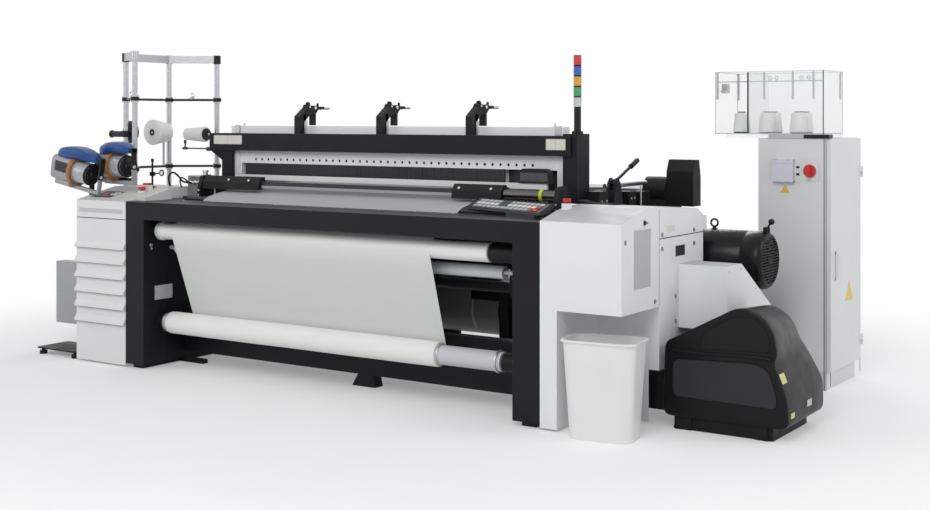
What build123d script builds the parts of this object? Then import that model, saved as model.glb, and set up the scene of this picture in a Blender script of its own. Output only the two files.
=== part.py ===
from build123d import *
import math
import os

# Power loom with its yarn stand, feeders, electric cabinet, shedding box and waste bin.
# Millimetres, z up, x to the right and y to the back as the weaver faces the machine.
# The origin lies on the floor, midway between the four anchor bolts.
# Depths are counted from the machine's front face towards the back.

# Frame
front_y = -830.0
frame_half = 1397.5
post_width = 150.0
post_depth = 160.0
frame_top = 965.0
beam_height = 102.0
beam_depth = 110.0
beam_lip = 20.0
foot_height = 24.0
foot_inset = 35.0
frame_length = 1700.0
frame_arch_height = 176.0
edge_round = 6.0
inner_half = frame_half - post_width
beam_bottom = frame_top - beam_height

# Anchor bolts
bolt_x = 1122.0
bolt_front = 340.0
bolt_rear = 1320.0
bolt_hole_radius = 9.0
lug_half = 30.0
lug_depth = 40.0

# Cross beams
front_beam_depth = 330.0
cross_beam_thick = 70.0
front_beam_bottom = 65.0
front_beam_top = 330.0
centre_foot_x = 100.0
centre_foot_half = 78.0
rear_beam_depth = 900.0
rear_beam_bottom = 300.0
rear_beam_top = 420.0

# Shafts and fits
running_clearance = 0.05
soft_clearance = 0.3
journal_reach = 14.0
block_half = 45.0

# Take-up roll, press roller and cloth roll
take_up_depth = 100.0
take_up_height = 797.0
take_up_radius = 48.0
take_up_journal = 18.0
take_up_left = -1205.0
take_up_right = 1067.0
press_depth = 215.0
press_height = 690.0
press_radius = 33.0
press_journal = 12.0
press_left = -1190.0
press_right = 1075.0
cloth_roll_depth = 150.0
cloth_roll_height = 262.0
cloth_core_radius = 49.0
cloth_roll_radius = 64.0
cloth_core_journal = 20.0
cloth_core_right = 1110.0
cloth_roll_left = -1165.0

# Cloth
cloth_left = -1075.0
cloth_right = 730.0
cloth_thick = 1.0
fell_depth = 556.0
fell_height = 1030.0
breast_nose_depth = 345.0
breast_nose_rise = 6.0
breast_nose_radius = 14.0
nose_lug = 22.0
breast_plate_thick = 8.0
cloth_slot = 60.0

# Sley and reed
rocking_depth = 600.0
rocking_height = 560.0
rocking_radius = 30.0
rocking_journal = 20.0
sley_half = 1090.0
sley_beam_bottom = 915.0
sley_beam_top = 985.0
sley_beam_half_depth = 32.0
sword_spacing = 600.0
sword_thick = 30.0
reed_thick = 6.0
reed_bottom = 985.0
reed_top = 1081.0
reed_cap_height = 30.0
reed_cap_half_depth = 7.0
reed_gap_count = 96
reed_gap = 6.0
reed_band = 12.0
feeler_left = 925.0
feeler_right = 1110.0
feeler_height = 76.0
feeler_round = 34.0

# Heald frames
heald_depth = 668.0
heald_pitch = 16.0
heald_thick = 12.0
heald_count = 4
heald_half = 1131.0
heald_top = 1262.0
heald_bottom = 800.0
top_stave_height = 85.0
bottom_stave_height = 70.0
heald_strut = 22.0
heddle_left = -1080.0
heddle_right = 780.0
heddle_thick = 1.5
stave_hole_count = 40
stave_hole_pitch = 50.1
stave_hole_centre = -16.0
stave_hole_radius = 8.0
stave_hole_height = 1201.0
guide_play = 0.5
guide_bottom = 1000.0
guide_top = 1250.0
guide_wall = 7.5

# Girder, columns and what stands on them
girder_depth = 620.0
girder_left = -1335.0
girder_bottom = 1253.0
girder_top = 1357.0
girder_sheet = 16.0
girder_flange_depth = 170.0
column_inner = 1160.0
column_outer = 1245.0
column_cap = 85.0
column_depth = 130.0
column_foot_height = 45.0
column_crown = 11.0
housing_left = -1236.0
housing_right = 1097.0
housing_block = 36.0
housing_step = 6.0
housing_height = 45.0
housing_depth = 60.0
bracket_first_x = -660.0
bracket_pitch = 611.0
bracket_count = 3
bracket_thick = 40.0
bracket_neck = 46.0
bracket_pivot_rise = 152.0
bracket_pivot_reach = 115.0
clamp_pin_radius = 8.0
clamp_lever_reach = 150.0
tower_x = 1211.0
tower_depth = 700.0
tower_pole_radius = 18.0
tower_lens_radius = 21.0
tower_pole_height = 139.0
tower_lens_height = 50.0
tower_lens_gap = 4.0
tower_lens_count = 5

# Temples
temple_depth = 480.0
temple_height = 1057.0
temple_bar_height = 40.0
temple_bar_depth = 24.0

# Warp beam and back rest
warp_depth = 1560.0
warp_height = 335.0
warp_barrel_radius = 155.0
warp_flange_radius = 305.0
warp_flange_thick = 14.0
warp_half = 1010.0
warp_journal = 30.0
back_rest_depth = 1450.0
back_rest_height = 1045.0
back_rest_radius = 30.0
back_rest_journal = 18.0
back_rest_hub = 78.0
back_rest_hub_length = 135.0

# Sheet covers
sheet = 3.0
cover_crest = 1030.0
cover_slope_depth = 300.0
left_cover_outer = -1822.0
left_cover_depth = 560.0
left_cover_bottom = 10.0
louvre_first = 681.0
louvre_pitch = 88.0
louvre_count = 6
louvre_flare = 18.0
louvre_rise = 40.0
left_seam_height = 857.0
right_cover_outer = 1820.0
right_cover_depth = 390.0
right_cover_bottom = 560.0
right_side_depth = 900.0
side_top_front = 1017.0
side_shoulder = 832.0
side_top_shoulder = 1001.0
side_top_back = 966.0
right_side_bottom = 258.0
right_leg_width = 90.0
right_panel_outer = 1765.0
window_front = 114.0
window_back = 306.0
window_bottom = 660.0
window_top = 941.0
window_recess = 2.0
lock_depth = 233.0
lock_height = 965.0
lock_radius = 11.0
screw_radius = 7.0
screw_height = 4.0
seam_width = 5.0
seam_depth = 1.5

# Buttons
button_radius = 20.0
button_collar = 26.0
button_stem = 9.0
button_travel = 6.0
button_head_height = 16.0
push_rise = 8.0
stop_rise = 25.0
stop_x = 1429.0
stop_depth = 200.0
push_x = -1479.0
push_depth = 200.0

# Belt cover, gear case and motor
belt_cover_outer = 2073.0
belt_cover_front = 600.0
belt_cover_top = 743.0
belt_cover_bottom = 436.0
belt_cover_back = 1170.0
belt_cover_tail = 64.0
belt_cover_shoulder = 779.0
motor_gap = 53.0
motor_height = 730.0
motor_radius = 147.0
motor_depth = right_side_depth + motor_gap + motor_radius
motor_left = 1560.0
motor_right = 2101.0
motor_wall = 12.0
motor_shaft = 19.0
motor_fan_radius = 118.0
gear_case_half = 160.0
gear_case_bottom = 570.0
gear_case_top = 890.0
brake_lever_x = 2078.0
brake_lever_lean = (26.0, 38.0)
brake_ball_radius = 16.0

# Shedding box
shed_front = 360.0
shed_back = 850.0
shed_plinth_height = 60.0
shed_plinth_inset = 53.0
shed_plinth_right = 2384.0
shed_link_left = 1742.0

# Waste bin
bin_x = 1715.0
bin_depth = 40.0
bin_turn = 8.0
bin_height = 447.0
bin_rim_width = 350.0
bin_rim_depth = 235.0
bin_base_width = 300.0
bin_base_depth = 190.0
bin_corner = 55.0
bin_wall = 3.0
bin_rim_lip = 8.0

# Cabinet and cone box
cabinet_left = 1847.0
cabinet_right = 2247.0
cabinet_front = 1583.0
cabinet_back = 2100.0
cabinet_height = 1340.0
cabinet_sheet = 4.0
cabinet_door_thick = 20.0
hinge_pin_radius = 5.0
switch_x = 2136.0
switch_height = 1168.0
switch_radius = 34.0
cone_box_left = 1596.0
cone_box_right = 2209.0
cone_box_bottom = 1362.0
cone_box_height = 343.0
cone_box_depth = 320.0
cone_box_divider = 1790.0
acrylic = 4.0
cone_base_radius = 48.0
cone_top_radius = 38.0
cone_height = 120.0
cone_pair_left = 1876.0
cone_pair_pitch = 176.0
cone_pair_gap = 4.0

# Yarn stand and feeders
stand_left = -2122.0
stand_right = -1868.0
stand_left_front = 655.0
stand_left_back = 1035.0
stand_right_front = 500.0
stand_right_back = 1231.0
stand_post_radius = 17.0
stand_height = 1870.0
stand_bar_height = 50.0
stand_rail_heights = (1125.0, 1572.0)
stand_rail_radius = 7.0
stand_foot = 20.0
package_height = 1355.0
side_package_height = 1340.0
side_package_depth = 1150.0
feeder_bar_height = 1075.0
feeder_bar_depth = 200.0
feeder_post_x = -1920.0
feeder_drum_radius = 66.0
feeder_drum_length = 110.0

# Panel, valve box and hand lever
panel_left = 756.0
panel_front = 340.0
panel_height = 993.0
panel_turn_degrees = 21.6
panel_length = 609.0
panel_width = 93.0
panel_rise = 46.0
panel_lip = 7.0
panel_back_thick = 22.0
panel_foot_start = 330.0
panel_foot_length = 230.0
panel_foot_front = 12.0
panel_foot_back = 50.0
key_pitch = 38.0
key_row_pitch = 26.0
key_width = 27.0
key_depth = 17.0
key_corner = 4.0
valve_left = -1392.0
valve_right = -1262.0
valve_front = 494.0
valve_back = 600.0
valve_height = 135.0
hand_lever_x = 1318.0
hand_lever_depth = 900.0
hand_lever_height = 1110.0
hand_lever_length = 210.0
lever_lean = math.radians(22.0)
lever_pivot_radius = 12.0
lever_cheek_half = 26.0
lever_slot_half = 10.0


def back(depth):
    """The y of a place this far behind the machine's front face."""
    return front_y + depth


def prism_x(points, x_start, x_end, mode=Mode.ADD):
    """A closed outline of (depth, height) points, extruded along x."""
    with BuildSketch(Plane.YZ.offset(x_start)) as outline:
        with BuildLine():
            Polyline(*[(back(depth), height) for depth, height in points], close=True)
        make_face()
    extrude(outline.sketch, amount=x_end - x_start, mode=mode)


def prism_y(points, depth_start, depth_end, mode=Mode.ADD):
    """A closed outline of (x, height) points, extruded towards the back."""
    with BuildSketch(Plane.XZ.offset(-back(depth_start))) as outline:
        with BuildLine():
            Polyline(*points, close=True)
        make_face()
    extrude(outline.sketch, amount=depth_start - depth_end, mode=mode)


def slab(x_start, x_end, depth_start, depth_end, z_start, z_end, mode=Mode.ADD):
    """A rectangular bar between two corners."""
    with BuildSketch(Plane.XY.offset(z_start)) as outline:
        with Locations(((x_start + x_end) / 2, back((depth_start + depth_end) / 2))):
            Rectangle(x_end - x_start, depth_end - depth_start)
    extrude(outline.sketch, amount=z_end - z_start, mode=mode)


def rod_x(depth, height, radius, x_start, x_end, mode=Mode.ADD):
    """A round bar along x."""
    with BuildSketch(Plane.YZ.offset(x_start)) as outline:
        with Locations((back(depth), height)):
            Circle(radius)
    extrude(outline.sketch, amount=x_end - x_start, mode=mode)


def rod_y(x, height, radius, depth_start, depth_end, mode=Mode.ADD):
    """A round bar from the front towards the back."""
    with BuildSketch(Plane.XZ.offset(-back(depth_start))) as outline:
        with Locations((x, height)):
            Circle(radius)
    extrude(outline.sketch, amount=depth_start - depth_end, mode=mode)


def rod_z(x, depth, radius, z_start, z_end, mode=Mode.ADD):
    """An upright round bar."""
    with BuildSketch(Plane.XY.offset(z_start)) as outline:
        with Locations((x, back(depth))):
            Circle(radius)
    extrude(outline.sketch, amount=z_end - z_start, mode=mode)


# The portal: two posts and the breast beam with its rear lip, welded as one piece
with BuildPart() as front_frame:
    prism_y(
        [
            (-frame_half, foot_height),
            (-frame_half, frame_top),
            (frame_half, frame_top),
            (frame_half, foot_height),
            (inner_half, foot_height),
            (inner_half, beam_bottom),
            (-inner_half, beam_bottom),
            (-inner_half, foot_height),
        ],
        0,
        beam_depth,
    )
    for side in (-1, 1):
        slab(
            min(side * inner_half, side * frame_half),
            max(side * inner_half, side * frame_half),
            beam_depth,
            post_depth,
            foot_height,
            frame_top,
        )
    slab(-inner_half, inner_half, beam_depth, post_depth, frame_top - beam_lip, frame_top)
    corners = front_frame.edges().filter_by(Axis.Z).group_by(Axis.Y)[0].sort_by(Axis.X)
    fillet([corners[0], corners[-1]], edge_round)

# The right side frame, a deep casting with an arch between its front and rear foot
arch_front = 700.0
arch_back = 1290.0
rear_top_depth = 1560.0
with BuildPart() as side_casting:
    prism_x(
        [
            (post_depth, foot_height),
            (post_depth, frame_top),
            (rear_top_depth, frame_top),
            (frame_length, 760.0),
            (frame_length, foot_height),
            (arch_back, foot_height),
            (arch_back - 60.0, frame_arch_height),
            (arch_front + 60.0, frame_arch_height),
            (arch_front, foot_height),
        ],
        inner_half,
        frame_half,
    )
    slab(inner_half + foot_inset, frame_half - foot_inset, 30.0, arch_front, 0, foot_height)
    slab(inner_half + foot_inset, frame_half - foot_inset, arch_back, frame_length - foot_inset, 0, foot_height)
    for bolt_depth in (bolt_front, bolt_rear):
        slab(
            bolt_x - lug_half,
            inner_half + foot_inset,
            bolt_depth - lug_depth / 2,
            bolt_depth + lug_depth / 2,
            0,
            foot_height,
        )
        rod_z(bolt_x, bolt_depth, bolt_hole_radius, 0, foot_height, Mode.SUBTRACT)
    rod_x(
        rocking_depth,
        rocking_height,
        rocking_journal + running_clearance,
        inner_half,
        inner_half + journal_reach + 4,
        Mode.SUBTRACT,
    )
    rod_x(
        press_depth,
        press_height,
        press_journal + running_clearance,
        inner_half,
        inner_half + journal_reach + 4,
        Mode.SUBTRACT,
    )
    rod_x(
        warp_depth,
        warp_height,
        warp_journal + running_clearance,
        inner_half,
        inner_half + journal_reach + 4,
        Mode.SUBTRACT,
    )

with BuildPart() as side_frame_left:
    mirror(side_casting.part, about=Plane.YZ)

with BuildPart() as side_frame_right:
    add(side_casting.part)
    prism_x(
        [
            (hand_lever_depth - 60.0, frame_top),
            (hand_lever_depth - 26.0, hand_lever_height),
            (hand_lever_depth, hand_lever_height + 26.0),
            (hand_lever_depth + 26.0, hand_lever_height),
            (hand_lever_depth + 60.0, frame_top),
        ],
        hand_lever_x - lever_cheek_half,
        hand_lever_x + lever_cheek_half,
    )
    slab(
        hand_lever_x - lever_slot_half,
        hand_lever_x + lever_slot_half,
        hand_lever_depth - 60.0,
        hand_lever_depth + 60.0,
        hand_lever_height - 40.0,
        hand_lever_height + 30.0,
        Mode.SUBTRACT,
    )
    rod_x(
        hand_lever_depth,
        hand_lever_height,
        lever_pivot_radius + running_clearance,
        hand_lever_x - lever_cheek_half,
        hand_lever_x + lever_cheek_half,
        Mode.SUBTRACT,
    )

# Cross beams between the side frames; the front one has a foot at mid width
with BuildPart() as cross_beams:
    for depth, bottom, top in (
        (front_beam_depth, front_beam_bottom, front_beam_top),
        (rear_beam_depth, rear_beam_bottom, rear_beam_top),
    ):
        slab(-inner_half, inner_half, depth, depth + cross_beam_thick, bottom, top)
    prism_y(
        [
            (centre_foot_x - centre_foot_half, 0),
            (centre_foot_x + centre_foot_half, 0),
            (centre_foot_x + centre_foot_half * 0.8, front_beam_bottom),
            (centre_foot_x - centre_foot_half * 0.5, front_beam_bottom),
        ],
        front_beam_depth,
        front_beam_depth + cross_beam_thick,
    )

# Columns on the side frames, with a broad foot and the heald guides' inner face
with BuildPart() as columns:
    prism_y(
        [
            (column_inner, frame_top + column_foot_height),
            (column_inner, girder_top + column_crown),
            (column_outer, girder_top + column_crown),
            (column_outer, frame_top + column_foot_height + 20.0),
            (frame_half - 10.0, frame_top + column_foot_height),
            (frame_half - 10.0, frame_top),
            (inner_half, frame_top),
            (inner_half, frame_top + column_foot_height),
        ],
        girder_depth + girder_sheet,
        girder_depth + girder_sheet + column_depth,
    )
    prism_y(
        [
            (-column_inner, frame_top + column_foot_height),
            (-column_inner, girder_top - girder_sheet),
            (-column_outer - column_cap, girder_top - girder_sheet),
            (-column_outer - column_cap, girder_bottom - 10.0),
            (-column_outer, girder_bottom - 60.0),
            (-column_outer, frame_top + column_foot_height + 20.0),
            (-frame_half + 10.0, frame_top + column_foot_height),
            (-frame_half + 10.0, frame_top),
            (-inner_half, frame_top),
            (-inner_half, frame_top + column_foot_height),
        ],
        girder_depth + girder_sheet,
        girder_depth + girder_sheet + column_depth,
    )

# Girder over the weaving zone: a folded channel, open below for the heald frames
with BuildPart() as girder:
    prism_x(
        [
            (girder_depth, girder_bottom),
            (girder_depth, girder_top),
            (girder_depth + girder_flange_depth, girder_top),
            (girder_depth + girder_flange_depth, girder_top - girder_sheet),
            (girder_depth + girder_sheet, girder_top - girder_sheet),
            (girder_depth + girder_sheet, girder_bottom),
        ],
        girder_left,
        column_inner,
    )
    slab(
        column_inner,
        column_outer - 2 * girder_sheet,
        girder_depth,
        girder_depth + girder_sheet,
        girder_bottom,
        girder_top,
    )

# Long light-grey housing along the girder's top, with a block at each end
housing_front = girder_depth + girder_flange_depth - housing_depth
with BuildPart() as overhead_housing:
    slab(
        housing_left,
        housing_right,
        housing_front + housing_step,
        housing_front + housing_depth,
        girder_top,
        girder_top + housing_height,
    )
    for end in (housing_left, housing_right):
        slab(
            end - housing_block / 2,
            end + housing_block / 2,
            housing_front,
            housing_front + housing_depth,
            girder_top,
            girder_top + housing_height,
        )

# Three goose-neck brackets with a jaw that reaches down behind the housing
bracket_base = girder_depth + 40.0
bracket_xs = [bracket_first_x + i * bracket_pitch for i in range(bracket_count)]
pivot_height = girder_top + bracket_pivot_rise
pivot_depth = bracket_base + bracket_pivot_reach
jaw_front = 20.0
jaw_back = 37.0
jaw_height = girder_top + housing_height + 4.0
with BuildPart() as top_brackets:
    for x in bracket_xs:
        prism_x(
            [
                (bracket_base, girder_top),
                (bracket_base, pivot_height - 50.0),
                (pivot_depth - 26.0, pivot_height + 14.0),
                (pivot_depth + 40.0, pivot_height + 16.0),
                (pivot_depth + 60.0, pivot_height - 10.0),
                (pivot_depth + jaw_back, pivot_height - 34.0),
                (pivot_depth + jaw_back, jaw_height),
                (pivot_depth + jaw_front, jaw_height),
                (pivot_depth + jaw_front, pivot_height - 38.0),
                (pivot_depth - 20.0, pivot_height - 42.0),
                (bracket_base + bracket_neck, pivot_height - 82.0),
                (bracket_base + bracket_neck, girder_top),
            ],
            x - bracket_thick / 2,
            x + bracket_thick / 2,
        )
        slab(
            x - bracket_thick / 2 + 10.0,
            x + bracket_thick / 2 - 10.0,
            pivot_depth + 6.0,
            pivot_depth + 62.0,
            pivot_height - 20.0,
            pivot_height + 18.0,
            Mode.SUBTRACT,
        )
        rod_x(
            pivot_depth + 30.0,
            pivot_height + 2.0,
            clamp_pin_radius + running_clearance,
            x - bracket_thick / 2,
            x + bracket_thick / 2,
            Mode.SUBTRACT,
        )

# Clamp levers: a pin across the fork, a finger and a silver rod
clamp_levers = []
for x in bracket_xs:
    with BuildPart() as clamp_lever:
        rod_x(
            pivot_depth + 30.0,
            pivot_height + 2.0,
            clamp_pin_radius,
            x - bracket_thick / 2,
            x + bracket_thick / 2,
        )
        slab(
            x - 9.0,
            x + 9.0,
            pivot_depth + 18.0,
            pivot_depth + 100.0,
            pivot_height - 9.0,
            pivot_height + 10.0,
        )
        rod_y(x, pivot_height + 1.0, 9.0, pivot_depth + 100.0, pivot_depth + 30.0 + clamp_lever_reach)
        rod_z(x, pivot_depth + 75.0, 7.0, pivot_height + 9.0, pivot_height + 30.0)
    clamp_levers.append(clamp_lever)

# Guide strips beside the heald frames, one groove for each frame
guide_front = heald_depth - guide_play - guide_wall
guide_back = heald_depth + heald_pitch * (heald_count - 1) + heald_thick + guide_play + guide_wall
with BuildPart() as heald_guides:
    for side in (-1, 1):
        inner = side * (heald_half - 9.0)
        outer = side * column_inner
        slab(min(inner, outer), max(inner, outer), guide_front, guide_back, guide_bottom, guide_top)
        groove_end = side * (heald_half + guide_play)
        for i in range(heald_count):
            groove_front = heald_depth + i * heald_pitch - guide_play
            slab(
                min(inner, groove_end),
                max(inner, groove_end),
                groove_front,
                groove_front + heald_thick + 2 * guide_play,
                guide_bottom,
                guide_top,
                Mode.SUBTRACT,
            )

# Heald frames: two staves, two struts and the close pack of heddles hung between them
heald_frames = []
for i in range(heald_count):
    frame_front = heald_depth + i * heald_pitch
    with BuildPart() as heald_frame:
        slab(-heald_half, heald_half, frame_front, frame_front + heald_thick, heald_bottom, heald_top)
        slab(
            -heald_half + heald_strut,
            heald_half - heald_strut,
            frame_front,
            frame_front + heald_thick,
            heald_bottom + bottom_stave_height,
            heald_top - top_stave_height,
            Mode.SUBTRACT,
        )
        slab(
            heddle_left,
            heddle_right,
            frame_front + (heald_thick - heddle_thick) / 2,
            frame_front + (heald_thick + heddle_thick) / 2,
            heald_bottom + bottom_stave_height,
            heald_top - top_stave_height,
        )
        if i == 0:
            with BuildSketch(Plane.XZ.offset(-back(frame_front))) as stave_holes:
                with Locations((stave_hole_centre, stave_hole_height)):
                    with GridLocations(stave_hole_pitch, 1, stave_hole_count, 1):
                        Circle(stave_hole_radius)
            extrude(stave_holes.sketch, amount=-heald_thick, mode=Mode.SUBTRACT)
    heald_frames.append(heald_frame)

# Sley: rocking shaft, four arms and the grooved beam that carries the reed
sword_xs = [(n - 1.5) * sword_spacing for n in range(4)]
with BuildPart() as sley:
    rod_x(rocking_depth, rocking_height, rocking_radius, -inner_half + 6.0, inner_half - 6.0)
    rod_x(
        rocking_depth,
        rocking_height,
        rocking_journal,
        -inner_half - journal_reach,
        inner_half + journal_reach,
    )
    for x in sword_xs:
        prism_x(
            [
                (rocking_depth - 42.0, rocking_height - 20.0),
                (rocking_depth - 22.0, sley_beam_bottom),
                (rocking_depth + 22.0, sley_beam_bottom),
                (rocking_depth + 42.0, rocking_height - 20.0),
                (rocking_depth + 20.0, rocking_height - 45.0),
                (rocking_depth - 20.0, rocking_height - 45.0),
            ],
            x - sword_thick / 2,
            x + sword_thick / 2,
        )
    prism_x(
        [
            (rocking_depth - sley_beam_half_depth, sley_beam_bottom),
            (rocking_depth - sley_beam_half_depth, sley_beam_top - 25.0),
            (rocking_depth - 14.0, sley_beam_top),
            (rocking_depth - reed_thick / 2 - 6.0, sley_beam_top),
            (rocking_depth - reed_thick / 2 - 6.0, sley_beam_top - 15.0),
            (rocking_depth + reed_thick / 2 + 6.0, sley_beam_top - 15.0),
            (rocking_depth + reed_thick / 2 + 6.0, sley_beam_top),
            (rocking_depth + sley_beam_half_depth, sley_beam_top),
            (rocking_depth + sley_beam_half_depth, sley_beam_bottom),
        ],
        -sley_half,
        sley_half,
    )

# Reed: one wall of dents between its bottom band and its top
reed_pitch = (2 * sley_half - 40.0) / (reed_gap_count + 1)
with BuildPart() as reed:
    slab(
        -sley_half,
        sley_half,
        rocking_depth - reed_thick / 2,
        rocking_depth + reed_thick / 2,
        sley_beam_top - 15.0,
        reed_top,
    )
    with BuildSketch(Plane.XZ.offset(-back(rocking_depth))) as dents:
        with Locations((0, (reed_bottom + reed_top) / 2)):
            with GridLocations(reed_pitch, 1, reed_gap_count, 1):
                Rectangle(reed_pitch - reed_gap, reed_top - reed_bottom - 2 * reed_band)
    extrude(dents.sketch, amount=reed_thick, both=True, mode=Mode.SUBTRACT)
    slab(
        -sley_half,
        sley_half,
        rocking_depth - reed_cap_half_depth,
        rocking_depth + reed_cap_half_depth,
        reed_top,
        reed_top + reed_cap_height,
    )
    fillet(reed.edges().filter_by(Axis.X).group_by(Axis.Z)[-1], 4.0)

with BuildPart() as weft_feeler:
    slab(
        feeler_left,
        feeler_right,
        rocking_depth - 16.0,
        rocking_depth + 24.0,
        reed_top + reed_cap_height,
        reed_top + reed_cap_height + feeler_height,
    )
    fillet(weft_feeler.edges().filter_by(Axis.Y).group_by(Axis.Z)[-1], feeler_round)

# Breast plate: the flat top strip behind the beam, then the slot and the nose bar for the cloth
nose_height = frame_top + breast_nose_rise
with BuildPart() as breast_plate:
    slab(
        -inner_half,
        inner_half,
        post_depth,
        breast_nose_depth - breast_nose_radius - cloth_slot,
        frame_top - breast_plate_thick,
        frame_top,
    )
    rod_x(breast_nose_depth, nose_height, breast_nose_radius, -inner_half, inner_half)
    for side in (-1, 1):
        slab(
            side * (inner_half - 8.0),
            side * (inner_half + nose_lug),
            breast_nose_depth - breast_nose_radius,
            breast_nose_depth + breast_nose_radius,
            frame_top,
            nose_height + breast_nose_radius,
        )

# Temple bars and the castings that hold them between the side frames
end_plate = 25.5
temple_left_reach = 455.0
temple_cover_left = 597.0
temple_cover_right = 904.0
steel_bar_radius = 8.0
steel_bar_spacing = 40.0
temple_bar_half = inner_half - end_plate
with BuildPart() as temple_bars:
    slab(
        -temple_bar_half,
        temple_bar_half,
        temple_depth - temple_bar_depth / 2,
        temple_depth + temple_bar_depth / 2,
        temple_height - temple_bar_height / 2,
        temple_height + temple_bar_height / 2,
    )
    for rise in (-0.5, 0.5):
        rod_x(
            temple_depth + steel_bar_spacing,
            temple_height + rise * steel_bar_spacing,
            steel_bar_radius,
            temple_cover_right,
            temple_bar_half,
        )

temple_cover_outline = [
    (temple_depth - 38.0, temple_height - 30.0),
    (temple_depth - 34.0, temple_height + 12.0),
    (temple_depth - 10.0, temple_height + 46.0),
    (temple_depth + 22.0, temple_height + 46.0),
    (temple_depth + 26.0, temple_height + 2.0),
    (temple_depth + 16.0, temple_height - 22.0),
]
with BuildPart() as temple_castings:
    for side in (-1, 1):
        prism_x(
            [
                (temple_depth - 50.0, frame_top - 70.0),
                (temple_depth - 50.0, temple_height - 20.0),
                (temple_depth - 25.0, temple_height + 45.0),
                (temple_depth + 40.0, temple_height + 50.0),
                (temple_depth + 64.0, temple_height),
                (temple_depth + 64.0, frame_top - 70.0),
            ],
            side * inner_half,
            side * temple_bar_half,
        )
    prism_x(temple_cover_outline, -temple_bar_half, -temple_bar_half + temple_left_reach)
    prism_x(temple_cover_outline, temple_cover_left, temple_cover_right)
    for rise in (-0.5, 0.5):
        rod_x(
            temple_depth + steel_bar_spacing,
            temple_height + rise * steel_bar_spacing,
            steel_bar_radius + 6.0,
            temple_cover_right - 60.0,
            temple_cover_right,
        )
    slab(
        temple_cover_right - 60.0,
        temple_cover_right,
        temple_depth,
        temple_depth + steel_bar_spacing + 6.0,
        temple_height - 16.0,
        temple_height + 16.0,
    )
    slab(
        -temple_bar_half,
        temple_bar_half,
        temple_depth - temple_bar_depth / 2 - running_clearance,
        temple_depth + temple_bar_depth / 2 + running_clearance,
        temple_height - temple_bar_height / 2 - running_clearance,
        temple_height + temple_bar_height / 2 + running_clearance,
        Mode.SUBTRACT,
    )


def bearing(depth, height, bore, block_face, journal_end):
    """A round bearing boss from a post's inner face, bored for a journal."""
    side = math.copysign(1.0, block_face)
    rod_x(depth, height, block_half, side * inner_half, block_face)
    rod_x(depth, height, bore, block_face, journal_end + side * 4.0, Mode.SUBTRACT)


# Bearing bosses of the take-up roll and of the cloth roll, on the posts' inner faces
bearing_gap = 7.0
journal_in_boss = 25.0
take_up_left_face = take_up_left - bearing_gap
take_up_right_face = take_up_right + bearing_gap
cloth_core_left_face = take_up_left - bearing_gap
cloth_core_right_face = cloth_core_right + bearing_gap
with BuildPart() as roll_bearings:
    for left_face, right_face, depth, height, journal in (
        (take_up_left_face, take_up_right_face, take_up_depth, take_up_height, take_up_journal),
        (
            cloth_core_left_face,
            cloth_core_right_face,
            cloth_roll_depth,
            cloth_roll_height,
            cloth_core_journal,
        ),
    ):
        bearing(depth, height, journal + running_clearance, left_face, left_face - journal_in_boss)
        bearing(depth, height, journal + running_clearance, right_face, right_face + journal_in_boss)

# Take-up roll with a raised ring at its left end
ring_rise = 6.0
with BuildPart() as take_up_roll:
    rod_x(take_up_depth, take_up_height, take_up_radius, take_up_left + 30.0, take_up_right)
    rod_x(take_up_depth, take_up_height, take_up_radius + ring_rise, take_up_left, take_up_left + 30.0)
    rod_x(
        take_up_depth,
        take_up_height,
        take_up_journal,
        take_up_left_face - journal_in_boss,
        take_up_right_face + journal_in_boss,
    )

with BuildPart() as press_roller:
    rod_x(press_depth, press_height, press_radius, press_left, press_right)
    rod_x(
        press_depth,
        press_height,
        press_journal,
        -inner_half - journal_reach,
        inner_half + journal_reach,
    )

with BuildPart() as cloth_roll_core:
    rod_x(cloth_roll_depth, cloth_roll_height, cloth_core_radius, take_up_left, cloth_core_right)
    rod_x(
        cloth_roll_depth,
        cloth_roll_height,
        cloth_core_journal,
        cloth_core_left_face - journal_in_boss,
        cloth_core_right_face + journal_in_boss,
    )

# Wound cloth, with a shallow groove at each end where the selvedges build up
with BuildPart() as cloth_roll:
    rod_x(cloth_roll_depth, cloth_roll_height, cloth_roll_radius, cloth_roll_left, cloth_right)
    fillet(cloth_roll.edges(), 2.5)
    rod_x(
        cloth_roll_depth,
        cloth_roll_height,
        cloth_core_radius + running_clearance,
        cloth_roll_left,
        cloth_right,
        Mode.SUBTRACT,
    )


def tangent_points(start, start_radius, end, end_radius):
    """Where a tight web leaves one circle and meets the next; a radius's sign is the side it runs on."""
    span = (end[0] - start[0], end[1] - start[1])
    length = math.hypot(*span)
    lean = math.acos((start_radius - end_radius) / length)
    heading = math.atan2(span[1], span[0])
    normal = (math.cos(heading + lean), math.sin(heading + lean))
    return (
        (start[0] + start_radius * normal[0], start[1] + start_radius * normal[1]),
        (end[0] + end_radius * normal[0], end[1] + end_radius * normal[1]),
    )


# Cloth between the reed and the cloth roll: over the nose bar, down and forward through
# the slot to the take-up roll, round its front, then back to the rear of the wound cloth
web_gap = soft_clearance + cloth_thick / 2
nose_centre = (breast_nose_depth, nose_height)
take_up_centre = (take_up_depth, take_up_height)
cloth_roll_centre = (cloth_roll_depth, cloth_roll_height)
nose_wrap = breast_nose_radius + web_gap
take_up_wrap = take_up_radius + web_gap
cloth_roll_wrap = cloth_roll_radius + web_gap
fell_point, nose_on = tangent_points((fell_depth, fell_height), 0.0, nose_centre, -nose_wrap)
nose_off, take_up_on = tangent_points(nose_centre, -nose_wrap, take_up_centre, -take_up_wrap)
take_up_off, cloth_roll_on = tangent_points(take_up_centre, -take_up_wrap, cloth_roll_centre, cloth_roll_wrap)


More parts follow.
